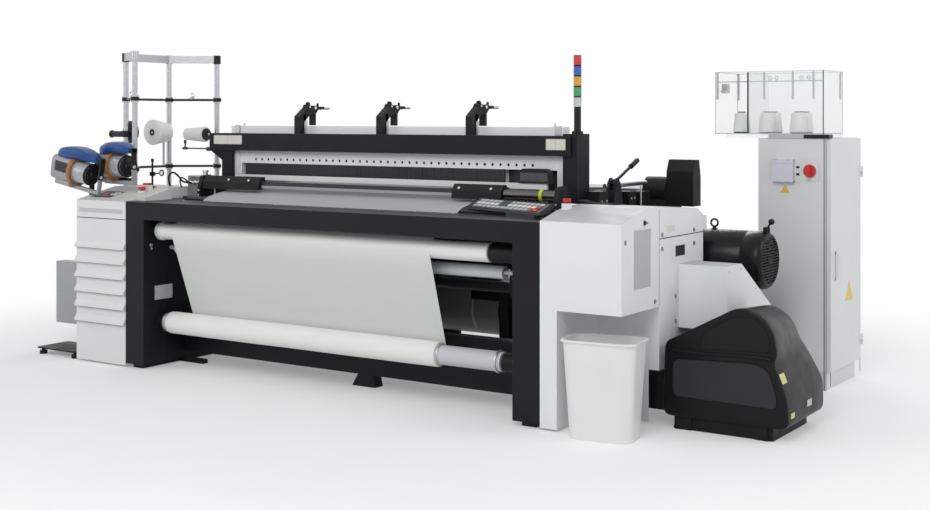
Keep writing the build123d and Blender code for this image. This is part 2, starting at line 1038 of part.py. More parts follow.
def arc_middle(centre, radius, first, last):
    """The point halfway along the short arc between two points of a circle."""
    middle = ((first[0] + last[0]) / 2 - centre[0], (first[1] + last[1]) / 2 - centre[1])
    reach = radius / math.hypot(*middle)
    return (centre[0] + middle[0] * reach, centre[1] + middle[1] * reach)


def web_place(point):
    """A (depth, height) point in the sketch plane of the web."""
    return (back(point[0]), point[1])


with BuildPart() as cloth_web:
    with BuildSketch(Plane.YZ.offset(cloth_left)) as web_section:
        with BuildLine() as web_path:
            Line(web_place(fell_point), web_place(nose_on))
            ThreePointArc(
                web_place(nose_on),
                web_place(arc_middle(nose_centre, nose_wrap, nose_on, nose_off)),
                web_place(nose_off),
            )
            Line(web_place(nose_off), web_place(take_up_on))
            ThreePointArc(
                web_place(take_up_on),
                web_place(arc_middle(take_up_centre, take_up_wrap, take_up_on, take_up_off)),
                web_place(take_up_off),
            )
            Line(web_place(take_up_off), web_place(cloth_roll_on))
        trace(web_path.line, line_width=cloth_thick)
    extrude(amount=cloth_right - cloth_left)

# Warp beam: barrel, two flanges and journals in the side frames
with BuildPart() as warp_beam:
    rod_x(warp_depth, warp_height, warp_barrel_radius, -warp_half, warp_half)
    for side in (-1, 1):
        rod_x(
            warp_depth,
            warp_height,
            warp_flange_radius,
            side * warp_half,
            side * (warp_half + warp_flange_thick),
        )
    rod_x(warp_depth, warp_height, warp_journal + 12.0, -inner_half + 8.0, inner_half - 8.0)
    rod_x(
        warp_depth,
        warp_height,
        warp_journal,
        -inner_half - journal_reach,
        inner_half + journal_reach,
    )

# Back rest: a roller between two bearing housings, the right one with a tension bracket
hub_start = inner_half + 2.5
with BuildPart() as back_rest_housings:
    for side in (-1, 1):
        prism_x(
            [
                (back_rest_depth - 70.0, frame_top),
                (back_rest_depth - 50.0, back_rest_height),
                (back_rest_depth + 50.0, back_rest_height),
                (back_rest_depth + 70.0, frame_top),
            ],
            side * hub_start,
            side * (hub_start + back_rest_hub_length),
        )
        rod_x(
            back_rest_depth,
            back_rest_height,
            back_rest_hub,
            side * hub_start,
            side * (hub_start + back_rest_hub_length),
        )
    prism_x(
        [
            (back_rest_depth - 50.0, frame_top),
            (back_rest_depth - 50.0, back_rest_height + 110.0),
            (back_rest_depth - 20.0, back_rest_height + 175.0),
            (back_rest_depth + 30.0, back_rest_height + 175.0),
            (back_rest_depth + 50.0, back_rest_height + 80.0),
            (back_rest_depth + 50.0, frame_top),
        ],
        hub_start + back_rest_hub_length,
        hub_start + back_rest_hub_length + 160.0,
    )
    rod_x(
        back_rest_depth,
        back_rest_height,
        back_rest_journal + running_clearance,
        -hub_start - journal_in_boss - 4.0,
        hub_start + journal_in_boss + 4.0,
        Mode.SUBTRACT,
    )

with BuildPart() as back_rest_roller:
    rod_x(
        back_rest_depth,
        back_rest_height,
        back_rest_radius,
        -hub_start + 4.0,
        hub_start - 4.0,
    )
    rod_x(
        back_rest_depth,
        back_rest_height,
        back_rest_journal,
        -hub_start - journal_in_boss,
        hub_start + journal_in_boss,
    )


def slope_height(depth, points):
    """The height of a cover's top at a depth, between two points of its outline."""
    (depth_a, height_a), (depth_b, height_b) = points
    return height_a + (depth - depth_a) * (height_b - height_a) / (depth_b - depth_a)


def sheet_box(outline, inner, x_open, x_closed):
    """A sheet cover: an outline extruded along x, hollowed out and left open at one side."""
    inward = math.copysign(sheet, x_open - x_closed)
    prism_x(outline, x_open, x_closed)
    prism_x(inner, x_open, x_closed + inward, Mode.SUBTRACT)


def button_collar_on(x, depth, height, rise):
    """The collar of a push button, bored for its stem."""
    rod_z(x, depth, button_collar, height - 12.0, height + rise)
    rod_z(x, depth, button_stem + running_clearance, height - 30.0, height + rise, Mode.SUBTRACT)


def button_head(x, depth, height, rise):
    """A mushroom head above its collar, on a stem."""
    head_bottom = height + rise + button_travel + 1.0
    rod_z(x, depth, button_stem, height - 24.0, head_bottom + 1.0)
    rod_z(x, depth, button_radius, head_bottom, head_bottom + button_head_height)


# Left cover: louvred front with a seam above, sloped top with a pocket, cap over the front post
left_cover_inner = -frame_half
left_front_top = 962.0
left_slope = [(0.0, left_front_top), (cover_slope_depth, cover_crest)]
louvres = []
for n in range(louvre_count):
    lip = louvre_first - n * louvre_pitch
    louvres.append((0.0, lip + louvre_rise))
    louvres.append((-louvre_flare, lip + louvre_rise / 3))
    louvres.append((-louvre_flare, lip))
    louvres.append((0.0, lip - louvre_flare / 3))
left_outline = [
    (left_cover_depth, cover_crest),
    (cover_slope_depth, cover_crest),
    (0.0, left_front_top),
    *louvres,
    (0.0, left_cover_bottom),
    (left_cover_depth, left_cover_bottom),
]
left_hollow = [
    (left_cover_depth - sheet, cover_crest - sheet),
    (cover_slope_depth, cover_crest - sheet),
    (sheet, left_front_top - sheet),
    (sheet, left_cover_bottom),
    (left_cover_depth - sheet, left_cover_bottom),
]
cap_edge = -1332.0
cap_front = 90.0
cap_back = cover_slope_depth + 6.0
cap_slope = [(cap_front, slope_height(cap_front, left_slope)), (cover_slope_depth, cover_crest)]
pocket_left = -1762.0
pocket_right = -1600.0
pocket_front = 60.0
pocket_back = 190.0
pocket_depth = 1.5
push_height = slope_height(push_depth, left_slope)
with BuildPart() as left_cover:
    sheet_box(left_outline, left_hollow, left_cover_inner, left_cover_outer)
    slab(
        left_cover_outer,
        left_cover_inner,
        0.0,
        seam_depth,
        left_seam_height - seam_width / 2,
        left_seam_height + seam_width / 2,
        Mode.SUBTRACT,
    )
    prism_x(
        [
            (pocket_front, slope_height(pocket_front, left_slope)),
            (pocket_back, slope_height(pocket_back, left_slope)),
            (pocket_back, slope_height(pocket_back, left_slope) - pocket_depth),
            (pocket_front, slope_height(pocket_front, left_slope) - pocket_depth),
        ],
        pocket_left,
        pocket_right,
        Mode.SUBTRACT,
    )
    sheet_box(
        [(cap_front, frame_top), *cap_slope, (cap_back, cover_crest), (cap_back, frame_top)],
        [
            (cap_front + sheet, frame_top),
            (cap_front + sheet, cap_slope[0][1] - sheet),
            (cover_slope_depth, cover_crest - sheet),
            (cap_back - sheet, cover_crest - sheet),
            (cap_back - sheet, frame_top),
        ],
        left_cover_inner,
        cap_edge,
    )
    prism_x(
        [
            (sheet, left_front_top),
            (cover_slope_depth, cover_crest),
            (left_cover_depth, cover_crest),
            (left_cover_depth, left_front_top),
        ],
        left_cover_inner - sheet,
        left_cover_inner,
    )
    button_collar_on(push_x, push_depth, push_height, push_rise)

with BuildPart() as push_button:
    button_head(push_x, push_depth, push_height, push_rise)

# Right front cover with its leg, window place and rounded top
right_front_top = 972.0
right_shoulder = (142.0, 1007.0)
right_crest = (250.0, 1029.0)
stop_height = slope_height(stop_depth, [right_shoulder, right_crest])
with BuildPart() as right_front_cover:
    sheet_box(
        [
            (0.0, right_cover_bottom),
            (0.0, right_front_top),
            right_shoulder,
            right_crest,
            (right_cover_depth, cover_crest),
            (right_cover_depth, right_cover_bottom),
        ],
        [
            (sheet, right_cover_bottom + sheet),
            (sheet, right_front_top - sheet),
            (right_shoulder[0], right_shoulder[1] - sheet),
            (right_crest[0], right_crest[1] - sheet),
            (right_cover_depth - sheet, cover_crest - sheet),
            (right_cover_depth - sheet, right_cover_bottom + sheet),
        ],
        frame_half,
        right_cover_outer,
    )
    slab(
        frame_half,
        frame_half + right_leg_width,
        0.0,
        right_cover_depth,
        left_cover_bottom,
        right_cover_bottom,
    )
    slab(
        frame_half,
        frame_half + right_leg_width - sheet,
        sheet,
        right_cover_depth,
        left_cover_bottom,
        right_cover_bottom - sheet,
        Mode.SUBTRACT,
    )
    slab(
        right_cover_outer - window_recess,
        right_cover_outer,
        window_front,
        window_back,
        window_bottom,
        window_top,
        Mode.SUBTRACT,
    )
    rod_x(
        lock_depth,
        lock_height,
        lock_radius * 0.6 + running_clearance,
        right_cover_outer - sheet,
        right_cover_outer,
        Mode.SUBTRACT,
    )
    prism_x(
        [
            (0.0, frame_top),
            (0.0, right_front_top),
            right_shoulder,
            right_crest,
            (right_cover_depth, cover_crest),
            (right_cover_depth, frame_top),
        ],
        frame_half,
        frame_half + sheet,
    )
    button_collar_on(stop_x, stop_depth, stop_height, stop_rise)

with BuildPart() as emergency_stop:
    button_head(stop_x, stop_depth, stop_height, stop_rise)

# Quarter-turn lock: a disc with a wing on a short stem
with BuildPart() as cover_lock:
    rod_x(lock_depth, lock_height, lock_radius * 0.6, right_cover_outer - 10.0, right_cover_outer + 1.0)
    rod_x(lock_depth, lock_height, lock_radius, right_cover_outer + 0.5, right_cover_outer + 7.0)
    slab(
        right_cover_outer + 7.0,
        right_cover_outer + 15.0,
        lock_depth - lock_radius + 1.0,
        lock_depth + lock_radius - 1.0,
        lock_height - 2.5,
        lock_height + 2.5,
    )

# Right side cover: two sheets with a seam groove, a vent place and the panel behind the bin
seam_height = 876.0
vent_front = 573.0
vent_back = 677.0
vent_bottom = 780.0
vent_top = 832.0
side_block_bottom = 892.0
with BuildPart() as right_side_cover:
    sheet_box(
        [
            (right_cover_depth, right_side_bottom),
            (right_cover_depth, side_top_front),
            (side_shoulder, side_top_shoulder),
            (right_side_depth, side_top_back),
            (right_side_depth, right_side_bottom),
        ],
        [
            (right_cover_depth, right_cover_bottom),
            (right_cover_depth, side_top_front - sheet),
            (side_shoulder, side_top_shoulder - sheet),
            (right_side_depth - sheet, side_top_back - sheet),
            (right_side_depth - sheet, right_side_bottom + sheet),
            (right_cover_depth + sheet, right_side_bottom + sheet),
            (right_cover_depth + sheet, right_cover_bottom),
        ],
        frame_half,
        right_cover_outer,
    )
    prism_x(
        [
            (right_cover_depth, frame_top),
            (right_cover_depth, side_top_front),
            (side_shoulder, side_top_shoulder),
            (right_side_depth, side_top_back),
            (right_side_depth, frame_top),
        ],
        frame_half,
        frame_half + sheet,
    )
    slab(
        frame_half + right_leg_width,
        right_panel_outer,
        right_cover_depth,
        right_cover_depth + sheet,
        left_cover_bottom,
        right_side_bottom,
    )
    slab(
        right_cover_outer - seam_depth,
        right_cover_outer,
        right_cover_depth,
        right_side_depth,
        seam_height,
        seam_height + seam_width,
        Mode.SUBTRACT,
    )
    slab(
        right_cover_outer - seam_depth,
        right_cover_outer,
        vent_front,
        vent_back,
        vent_bottom,
        vent_top,
        Mode.SUBTRACT,
    )
    slab(
        right_cover_outer - 100.0,
        right_cover_outer - sheet,
        right_side_depth,
        right_side_depth + motor_gap,
        side_block_bottom,
        side_top_back - 8.0,
    )

# Quarter-turn fasteners of the right covers, all in the outer face
screw_places = (
    (41.0, 888.0),
    (346.0, 589.0),
    (425.0, 829.0),
    (425.0, 896.0),
    (575.0, 469.0),
    (575.0, 589.0),
    (789.0, 829.0),
    (789.0, 896.0),
)
with BuildPart() as cover_screws:
    for depth, height in screw_places:
        rod_x(depth, height, screw_radius, right_cover_outer, right_cover_outer + screw_height)

# Belt cover, a five-sided sheet housing on the side cover's face
with BuildPart() as belt_cover:
    sheet_box(
        [
            (belt_cover_front, belt_cover_bottom),
            (belt_cover_front, belt_cover_top),
            (belt_cover_shoulder, belt_cover_top),
            (belt_cover_back, belt_cover_bottom + belt_cover_tail),
            (belt_cover_back, belt_cover_bottom),
        ],
        [
            (belt_cover_front + sheet, belt_cover_bottom + sheet),
            (belt_cover_front + sheet, belt_cover_top - sheet),
            (belt_cover_shoulder, belt_cover_top - sheet),
            (belt_cover_back - sheet, belt_cover_bottom + belt_cover_tail - sheet),
            (belt_cover_back - sheet, belt_cover_bottom + sheet),
        ],
        right_cover_outer,
        belt_cover_outer,
    )

# Gear case between the side frame and the motor
motor_nose = 60.0
with BuildPart() as gear_case:
    slab(
        frame_half,
        motor_left,
        motor_depth - gear_case_half,
        motor_depth + gear_case_half,
        gear_case_bottom,
        gear_case_top,
    )
    fillet(gear_case.edges().filter_by(Axis.X), 40.0)
    fillet(gear_case.edges().group_by(Axis.X)[-1], 10.0)
    rod_x(
        motor_depth,
        motor_height,
        motor_shaft + running_clearance,
        motor_left - motor_nose - 4.0,
        motor_left,
        Mode.SUBTRACT,
    )

# Motor: smooth cowl, fan space behind a slatted end, lifting eye and brake lever lugs
motor_fan_space = 110.0
motor_end = 6.0
cowl_start = motor_right - motor_end - motor_fan_space
grille_slot_count = 10
grille_slot_height = 12.0
grille_pitch = 23.0
grille_rim = 24.0
lever_lug_gap = 10.5
lever_lug_thick = 7.0
lever_pin_radius = 4.0
lever_pin_height = motor_height + motor_radius + 11.0
eye_x = 1797.0
with BuildPart() as motor_housing:
    rod_x(motor_depth, motor_height, motor_radius, motor_left, motor_right)
    rod_x(
        motor_depth,
        motor_height,
        motor_radius - motor_wall,
        cowl_start,
        motor_right - motor_end,
        Mode.SUBTRACT,
    )
    rod_x(
        motor_depth,
        motor_height,
        motor_shaft + running_clearance,
        motor_left,
        cowl_start,
        Mode.SUBTRACT,
    )
    with BuildSketch(Plane.YZ.offset(motor_right)) as slots:
        with Locations((back(motor_depth), motor_height)):
            with GridLocations(1, grille_pitch, 1, grille_slot_count):
                Rectangle(2 * motor_radius, grille_slot_height)
            Circle(motor_radius - grille_rim, mode=Mode.INTERSECT)
    extrude(slots.sketch, amount=-motor_end, mode=Mode.SUBTRACT)
    fillet(motor_housing.edges().group_by(Axis.X)[-1].sort_by(SortBy.LENGTH)[-1], 5.0)
    rod_z(eye_x, motor_depth, 9.0, motor_height + motor_radius - 12.0, motor_height + motor_radius + 14.0)
    with BuildSketch(Plane.XZ.offset(-back(motor_depth))) as eye:
        with Locations((eye_x, motor_height + motor_radius + 32.0)):
            Circle(24.0)
            Circle(14.0, mode=Mode.SUBTRACT)
    extrude(eye.sketch, amount=5.0, both=True)
    for side in (-1, 1):
        near = motor_depth + side * lever_lug_gap
        far = motor_depth + side * (lever_lug_gap + lever_lug_thick)
        slab(
            brake_lever_x - 12.0,
            brake_lever_x + 12.0,
            min(near, far),
            max(near, far),
            motor_height + motor_radius - 8.0,
            lever_pin_height + 10.0,
        )
    rod_y(
        brake_lever_x,
        lever_pin_height,
        lever_pin_radius + running_clearance,
        motor_depth - lever_lug_gap - lever_lug_thick,
        motor_depth + lever_lug_gap + lever_lug_thick,
        Mode.SUBTRACT,
    )

# Motor shaft with its fan: a hub and flat blades
fan_blade_count = 9
fan_width = 50.0
fan_start = cowl_start + 30.0
with BuildPart() as motor_fan:
    rod_x(motor_depth, motor_height, motor_shaft, motor_left - motor_nose, fan_start + fan_width)
    rod_x(motor_depth, motor_height, motor_shaft + 18.0, fan_start, fan_start + fan_width)
    rod_x(motor_depth, motor_height, motor_fan_radius, fan_start, fan_start + 4.0)
    with BuildSketch(Plane.YZ.offset(fan_start)) as blades:
        with Locations((back(motor_depth), motor_height)):
            with PolarLocations((motor_fan_radius + motor_shaft + 10.0) / 2, fan_blade_count):
                Rectangle(motor_fan_radius - motor_shaft - 10.0, 4.0)
    extrude(blades.sketch, amount=fan_width)

with BuildPart() as brake_lever:
    rod_y(
        brake_lever_x,
        lever_pin_height,
        lever_pin_radius,
        motor_depth - lever_lug_gap - lever_lug_thick,
        motor_depth + lever_lug_gap + lever_lug_thick,
    )
    rod_y(
        brake_lever_x,
        lever_pin_height,
        8.0,
        motor_depth - lever_lug_gap + 1.0,
        motor_depth + lever_lug_gap - 1.0,
    )
    lever_foot = (brake_lever_x, back(motor_depth), lever_pin_height)
    lever_rod = Plane(origin=lever_foot, z_dir=(brake_lever_lean[0], 0, brake_lever_lean[1]))
    with BuildSketch(lever_rod) as lever_section:
        Circle(5.0)
    extrude(lever_section.sketch, amount=math.hypot(*brake_lever_lean))
    with Locations((brake_lever_x + brake_lever_lean[0], back(motor_depth), lever_pin_height + brake_lever_lean[1])):
        Sphere(brake_ball_radius)

# Shedding box: a cast housing whose hood narrows to the back, on a plinth, with two front panels
shed_body_back = belt_cover_front - 5.0
shed_low_top = belt_cover_bottom - 10.0
shed_panel_recess = 5.0
shed_left = 1850.0
shed_front_outline = [
    (shed_left, shed_plinth_height),
    (1862.0, 405.0),
    (1925.0, 436.0),
    (2207.0, 584.0),
    (2260.0, 592.0),
    (2343.0, 556.0),
    (2393.0, 490.0),
    (2408.0, 385.0),
    (2392.0, 352.0),
    (2457.0, 190.0),
    (2462.0, shed_plinth_height),
]
shed_back_outline = [
    (shed_left, shed_plinth_height),
    (1862.0, 400.0),
    (1920.0, 430.0),
    (2150.0, 540.0),
    (2211.0, 547.0),
    (2290.0, 505.0),
    (2325.0, 450.0),
    (2345.0, 400.0),
    (2393.0, 329.0),
    (2457.0, 215.0),
    (2457.0, shed_plinth_height),
]
shed_door = [
    (1878.0, 95.0),
    (1890.0, 345.0),
    (1925.0, 388.0),
    (2365.0, 388.0),
    (2362.0, 350.0),
    (2424.0, 190.0),
    (2428.0, 95.0),
]
shed_upper_panel = [
    (1990.0, 425.0),
    (2213.0, 553.0),
    (2258.0, 562.0),
    (2325.0, 535.0),
    (2366.0, 480.0),
    (2375.0, 425.0),
]
with BuildPart() as shedding_box:
    with BuildSketch(Plane.XZ.offset(-back(shed_front))) as shed_front_section:
        with BuildLine():
            Polyline(*shed_front_outline, close=True)
        make_face()
    with BuildSketch(Plane.XZ.offset(-back(shed_back))) as shed_back_section:
        with BuildLine():
            Polyline(*shed_back_outline, close=True)
        make_face()
    loft(sections=[shed_front_section.sketch, shed_back_section.sketch], ruled=True)
    slab(
        shed_left,
        belt_cover_outer + 10.0,
        shed_body_back,
        shed_back,
        shed_low_top,
        belt_cover_top,
        Mode.SUBTRACT,
    )
    for panel in (shed_door, shed_upper_panel):
        prism_y(panel, shed_front, shed_front + shed_panel_recess, Mode.SUBTRACT)
    slab(
        shed_left + shed_plinth_inset,
        shed_plinth_right,
        shed_front + 20.0,
        shed_back - 30.0,
        0,
        shed_plinth_height,
    )
    slab(shed_link_left, shed_left + 4.0, shed_front + 70.0, shed_front + 280.0, 65.0, 225.0)

# Waste bin: a tapered shell with a rolled rim, standing a little turned


def bin_section(width, depth, height, corner):
    """A rounded rectangle across the bin at a height."""
    with BuildSketch(Plane.XY.offset(height)) as section:
        with Locations((bin_x, back(bin_depth))):
            RectangleRounded(width, depth, corner, rotation=bin_turn)
    return section.sketch


with BuildPart() as waste_bin:
    loft(
        sections=[
            bin_section(bin_base_width, bin_base_depth, 0, bin_corner),
            bin_section(bin_rim_width, bin_rim_depth, bin_height, bin_corner),
        ]
    )
    lip_width = bin_rim_width + 2 * bin_rim_lip
    lip_depth = bin_rim_depth + 2 * bin_rim_lip
    extrude(bin_section(lip_width, lip_depth, bin_height - bin_rim_lip, bin_corner), amount=bin_rim_lip)
    inner_corner = bin_corner - bin_wall
    loft(
        sections=[
            bin_section(bin_base_width - 2 * bin_wall, bin_base_depth - 2 * bin_wall, bin_wall, inner_corner),
            bin_section(bin_rim_width - 2 * bin_wall, bin_rim_depth - 2 * bin_wall, bin_height, inner_corner),
        ],
        mode=Mode.SUBTRACT,
    )

# Electric cabinet: a sheet box, open towards its side door, with its mounting plate
door_gap = 1.0
cabinet_body_right = cabinet_right - cabinet_door_thick
plinth_height = 100.0
plinth_inset = 12.0
box_left = 1936.0
box_right = 2050.0
box_bottom = 1109.0
box_top = 1224.0
box_depth = 26.0
hinge_pin_x = cabinet_right + hinge_pin_radius
hinge_pin_depth = cabinet_back + hinge_pin_radius + 3.0
hinge_heights = (180.0, 1120.0)
hinge_length = 60.0
with BuildPart() as cabinet_body:
    slab(cabinet_left, cabinet_body_right, cabinet_front, cabinet_back, plinth_height, cabinet_height)
    slab(
        cabinet_left + cabinet_sheet,
        cabinet_body_right,
        cabinet_front + cabinet_sheet,
        cabinet_back - cabinet_sheet,
        plinth_height + cabinet_sheet,
        cabinet_height - cabinet_sheet,
        Mode.SUBTRACT,
    )
    slab(
        cabinet_left + plinth_inset,
        cabinet_body_right - plinth_inset,
        cabinet_front + plinth_inset,
        cabinet_back - plinth_inset,
        0,
        plinth_height,
    )
    slab(
        cabinet_left + cabinet_sheet,
        cabinet_left + 30.0,
        cabinet_front + 40.0,
        cabinet_back - 40.0,
        plinth_height + cabinet_sheet,
        plinth_height + 40.0,
    )
    slab(
        cabinet_left + 27.0,
        cabinet_left + 30.0,
        cabinet_front + 40.0,
        cabinet_back - 40.0,
        plinth_height + 40.0,
        cabinet_height - 60.0,
    )
    slab(box_left, box_right, cabinet_front - box_depth, cabinet_front, box_bottom, box_top)
    slab(
        switch_x - 52.0,
        switch_x + 52.0,
        cabinet_front - 3.0,
        cabinet_front,
        switch_height - 52.0,
        switch_height + 52.0,
    )
    rod_y(switch_x, switch_height, 10.0 + running_clearance, cabinet_front - 3.0, cabinet_front, Mode.SUBTRACT)
    rod_y(
        switch_x,
        switch_height,
        10.0 + running_clearance,
        cabinet_front,
        cabinet_front + cabinet_sheet,
        Mode.SUBTRACT,
    )
    for height in hinge_heights:
        slab(
            cabinet_body_right - 30.0,
            hinge_pin_x + hinge_pin_radius,
            cabinet_back,
            hinge_pin_depth + hinge_pin_radius + 2.0,
            height,
            height + hinge_length / 2,
        )
        rod_z(
            hinge_pin_x,
            hinge_pin_depth,
            hinge_pin_radius + running_clearance,
            height,
            height + hinge_length / 2,
            Mode.SUBTRACT,
        )

# Door leaf with its folded edge, hinge pins and a grip handle
door_bottom = plinth_height + 2.0
door_top = cabinet_height - 2.0
handle_depth = 1651.0
handle_bottom = 583.0
handle_top = 742.0
with BuildPart() as cabinet_door:
    slab(
        cabinet_body_right + door_gap,
        cabinet_right,
        cabinet_front + 2.0,
        cabinet_back - 2.0,
        door_bottom,
        door_top,
    )
    slab(
        cabinet_body_right + door_gap,
        cabinet_right - cabinet_sheet,
        cabinet_front + 2.0 + cabinet_sheet,
        cabinet_back - 2.0 - cabinet_sheet,
        door_bottom + cabinet_sheet,
        door_top - cabinet_sheet,
        Mode.SUBTRACT,
    )
    slab(cabinet_right, cabinet_right + 6.0, handle_depth - 16.0, handle_depth + 16.0, handle_bottom, handle_top)
    slab(
        cabinet_right + 6.0,
        cabinet_right + 24.0,
        handle_depth - 9.0,
        handle_depth + 9.0,
        handle_bottom + 20.0,
        handle_top - 12.0,
    )
    for height in hinge_heights:
        slab(
            cabinet_right - cabinet_sheet,
            cabinet_right + 2.0 * hinge_pin_radius,
            cabinet_back - 40.0,
            hinge_pin_depth + hinge_pin_radius + 2.0,
            height + hinge_length / 2 + 1.0,
            height + hinge_length,
        )
        slab(
            cabinet_right - cabinet_sheet - 1.0,
            cabinet_right,
            cabinet_back - 2.0,
            hinge_pin_depth + hinge_pin_radius + 3.0,
            height + hinge_length / 2,
            height + hinge_length + 1.0,
            Mode.SUBTRACT,
        )
        rod_z(hinge_pin_x, hinge_pin_depth, hinge_pin_radius, height + 2.0, height + hinge_length)

# Red rotary main switch on the cabinet's front
with BuildPart() as main_switch:
    rod_y(switch_x, switch_height, 10.0, cabinet_front - 5.0, cabinet_front + cabinet_sheet + 8.0)
    rod_y(switch_x, switch_height, switch_radius, cabinet_front - 14.0, cabinet_front - 4.0)
    slab(
        switch_x - 9.0,
        switch_x + 9.0,
        cabinet_front - 40.0,
        cabinet_front - 14.0,
        switch_height - switch_radius + 4.0,
        switch_height + switch_radius - 4.0,
    )

# Clear cone box on its bracket over the cabinet
cone_box_top = cone_box_bottom + cone_box_height
cone_box_front = cabinet_front
cone_box_back = cabinet_front + cone_box_depth
bracket_leg = 30.0
cone_door_pin = 1.9
cone_pin_reach = 3.0
cone_door_pin_x = cone_box_divider + acrylic / 2 + cone_door_pin + 2.0
with BuildPart() as cone_box:
    slab(cone_box_left, cone_box_right, cone_box_front, cone_box_back, cone_box_bottom, cone_box_top)
    for start, end in (
        (cone_box_left + acrylic, cone_box_divider - acrylic / 2),
        (cone_box_divider + acrylic / 2, cone_box_right - acrylic),
    ):
        slab(
            start,
            end,
            cone_box_front,
            cone_box_back - acrylic,
            cone_box_bottom + acrylic,
            cone_box_top - acrylic,
            Mode.SUBTRACT,
        )
    rod_z(
        cone_door_pin_x,
        cone_box_front + acrylic / 2,
        cone_door_pin + running_clearance,
        cone_box_bottom + acrylic - cone_pin_reach - 0.5,
        cone_box_top - acrylic + cone_pin_reach + 0.5,
        Mode.SUBTRACT,
    )
    slab(
        cone_box_left + 60.0,
        cone_box_right,
        cone_box_front + 10.0,
        cone_box_front + 10.0 + bracket_leg,
        cabinet_height,
        cone_box_bottom,
    )
    slab(
        cabinet_left,
        cone_box_right,
        cone_box_back - bracket_leg,
        cone_box_back,
        cabinet_height,
        cone_box_bottom,
    )

# Front door of the box, hung on a pin beside the divider
with BuildPart() as cone_box_door:
    slab(
        cone_door_pin_x,
        cone_box_right - acrylic - 1.0,
        cone_box_front,
        cone_box_front + acrylic,
        cone_box_bottom + acrylic + 1.0,
        cone_box_top - acrylic - 1.0,
    )
    rod_z(
        cone_door_pin_x,
        cone_box_front + acrylic / 2,
        cone_door_pin,
        cone_box_bottom + acrylic - cone_pin_reach,
        cone_box_top - acrylic + cone_pin_reach,
    )
    rod_y(
        cone_box_right - 40.0,
        (cone_box_bottom + cone_box_top) / 2,
        7.0,
        cone_box_front - 16.0,
        cone_box_front,
    )

# Yarn packages: five cones in the box, two on the stand
box_cone_front = cone_box_front + acrylic + cone_base_radius + 5.0
box_cone_places = [(cone_box_left + 113.0, box_cone_front + cone_base_radius)]
for column in range(2):
    for row in range(2):
        row_depth = box_cone_front + row * (2 * cone_base_radius + cone_pair_gap)
        box_cone_places.append((cone_pair_left + column * cone_pair_pitch, row_depth))
package_x = stand_left + stand_post_radius + 34.0
package_depth = 900.0
package_radius = 86.0
package_length = 140.0
side_package_base = 53.0
side_package_top = 40.0
side_package_length = 200.0
peg_radius = 8.0
side_package_right = stand_right - peg_radius - 2.0
with BuildPart() as yarn_cones:
    for x, depth in box_cone_places:
        with BuildSketch(Plane.XY.offset(cone_box_bottom + acrylic)) as cone_foot:
            with Locations((x, back(depth))):
                Circle(cone_base_radius)
        with BuildSketch(Plane.XY.offset(cone_box_bottom + acrylic + cone_height)) as cone_tip:
            with Locations((x, back(depth))):
                Circle(cone_top_radius)
        loft(sections=[cone_foot.sketch, cone_tip.sketch])
    with BuildSketch(Plane.XZ.offset(-back(package_depth - package_length / 2))) as package_front:
        with Locations((package_x, package_height)):
            Circle(package_radius)
    with BuildSketch(Plane.XZ.offset(-back(package_depth + package_length / 2))) as package_back:
        with Locations((package_x, package_height)):
            Circle(package_radius * 0.72)
    loft(sections=[package_front.sketch, package_back.sketch])
    rod_y(
        package_x,
        package_height,
        peg_radius + running_clearance,
        package_depth - package_length / 2,
        package_depth + package_length / 2,
        Mode.SUBTRACT,
    )
    with BuildSketch(Plane.YZ.offset(side_package_right - side_package_length)) as side_tip:
        with Locations((back(side_package_depth), side_package_height)):
            Circle(side_package_top)
    with BuildSketch(Plane.YZ.offset(side_package_right)) as side_foot:
        with Locations((back(side_package_depth), side_package_height)):
            Circle(side_package_base)
    loft(sections=[side_tip.sketch, side_foot.sketch])
    rod_x(
        side_package_depth,
        side_package_height,
        peg_radius + running_clearance,
        side_package_right - side_package_length,
        side_package_right,
        Mode.SUBTRACT,
    )

# Yarn stand: four posts, top bars, round rails, clamps and package pegs
stand_places = (
    (stand_right, stand_right_front),
    (stand_left, stand_left_front),
    (stand_left, stand_left_back),
    (stand_right, stand_right_back),
)
clamp_half = 24.0
clamp_height = 44.0


def bar_between(start, end, height, section_width, section_height):
    """A flat bar between two (x, depth) places, its top at a height."""
    length = math.hypot(end[0] - start[0], end[1] - start[1])
    heading = math.degrees(math.atan2(end[1] - start[1], end[0] - start[0]))
    with BuildSketch(Plane.XY.offset(height - section_height)) as strip:
        with Locations(((start[0] + end[0]) / 2, back((start[1] + end[1]) / 2))):
            Rectangle(length, section_width, rotation=heading)
    extrude(strip.sketch, amount=section_height)


def rail_between(start, end, height, radius):
    """A round rail between two (x, depth) places."""
    direction = (end[0] - start[0], end[1] - start[1], 0)
    origin = (start[0], back(start[1]), height)
    with BuildSketch(Plane(origin=origin, z_dir=direction)) as rail:
        Circle(radius)
    extrude(rail.sketch, amount=math.hypot(direction[0], direction[1]))


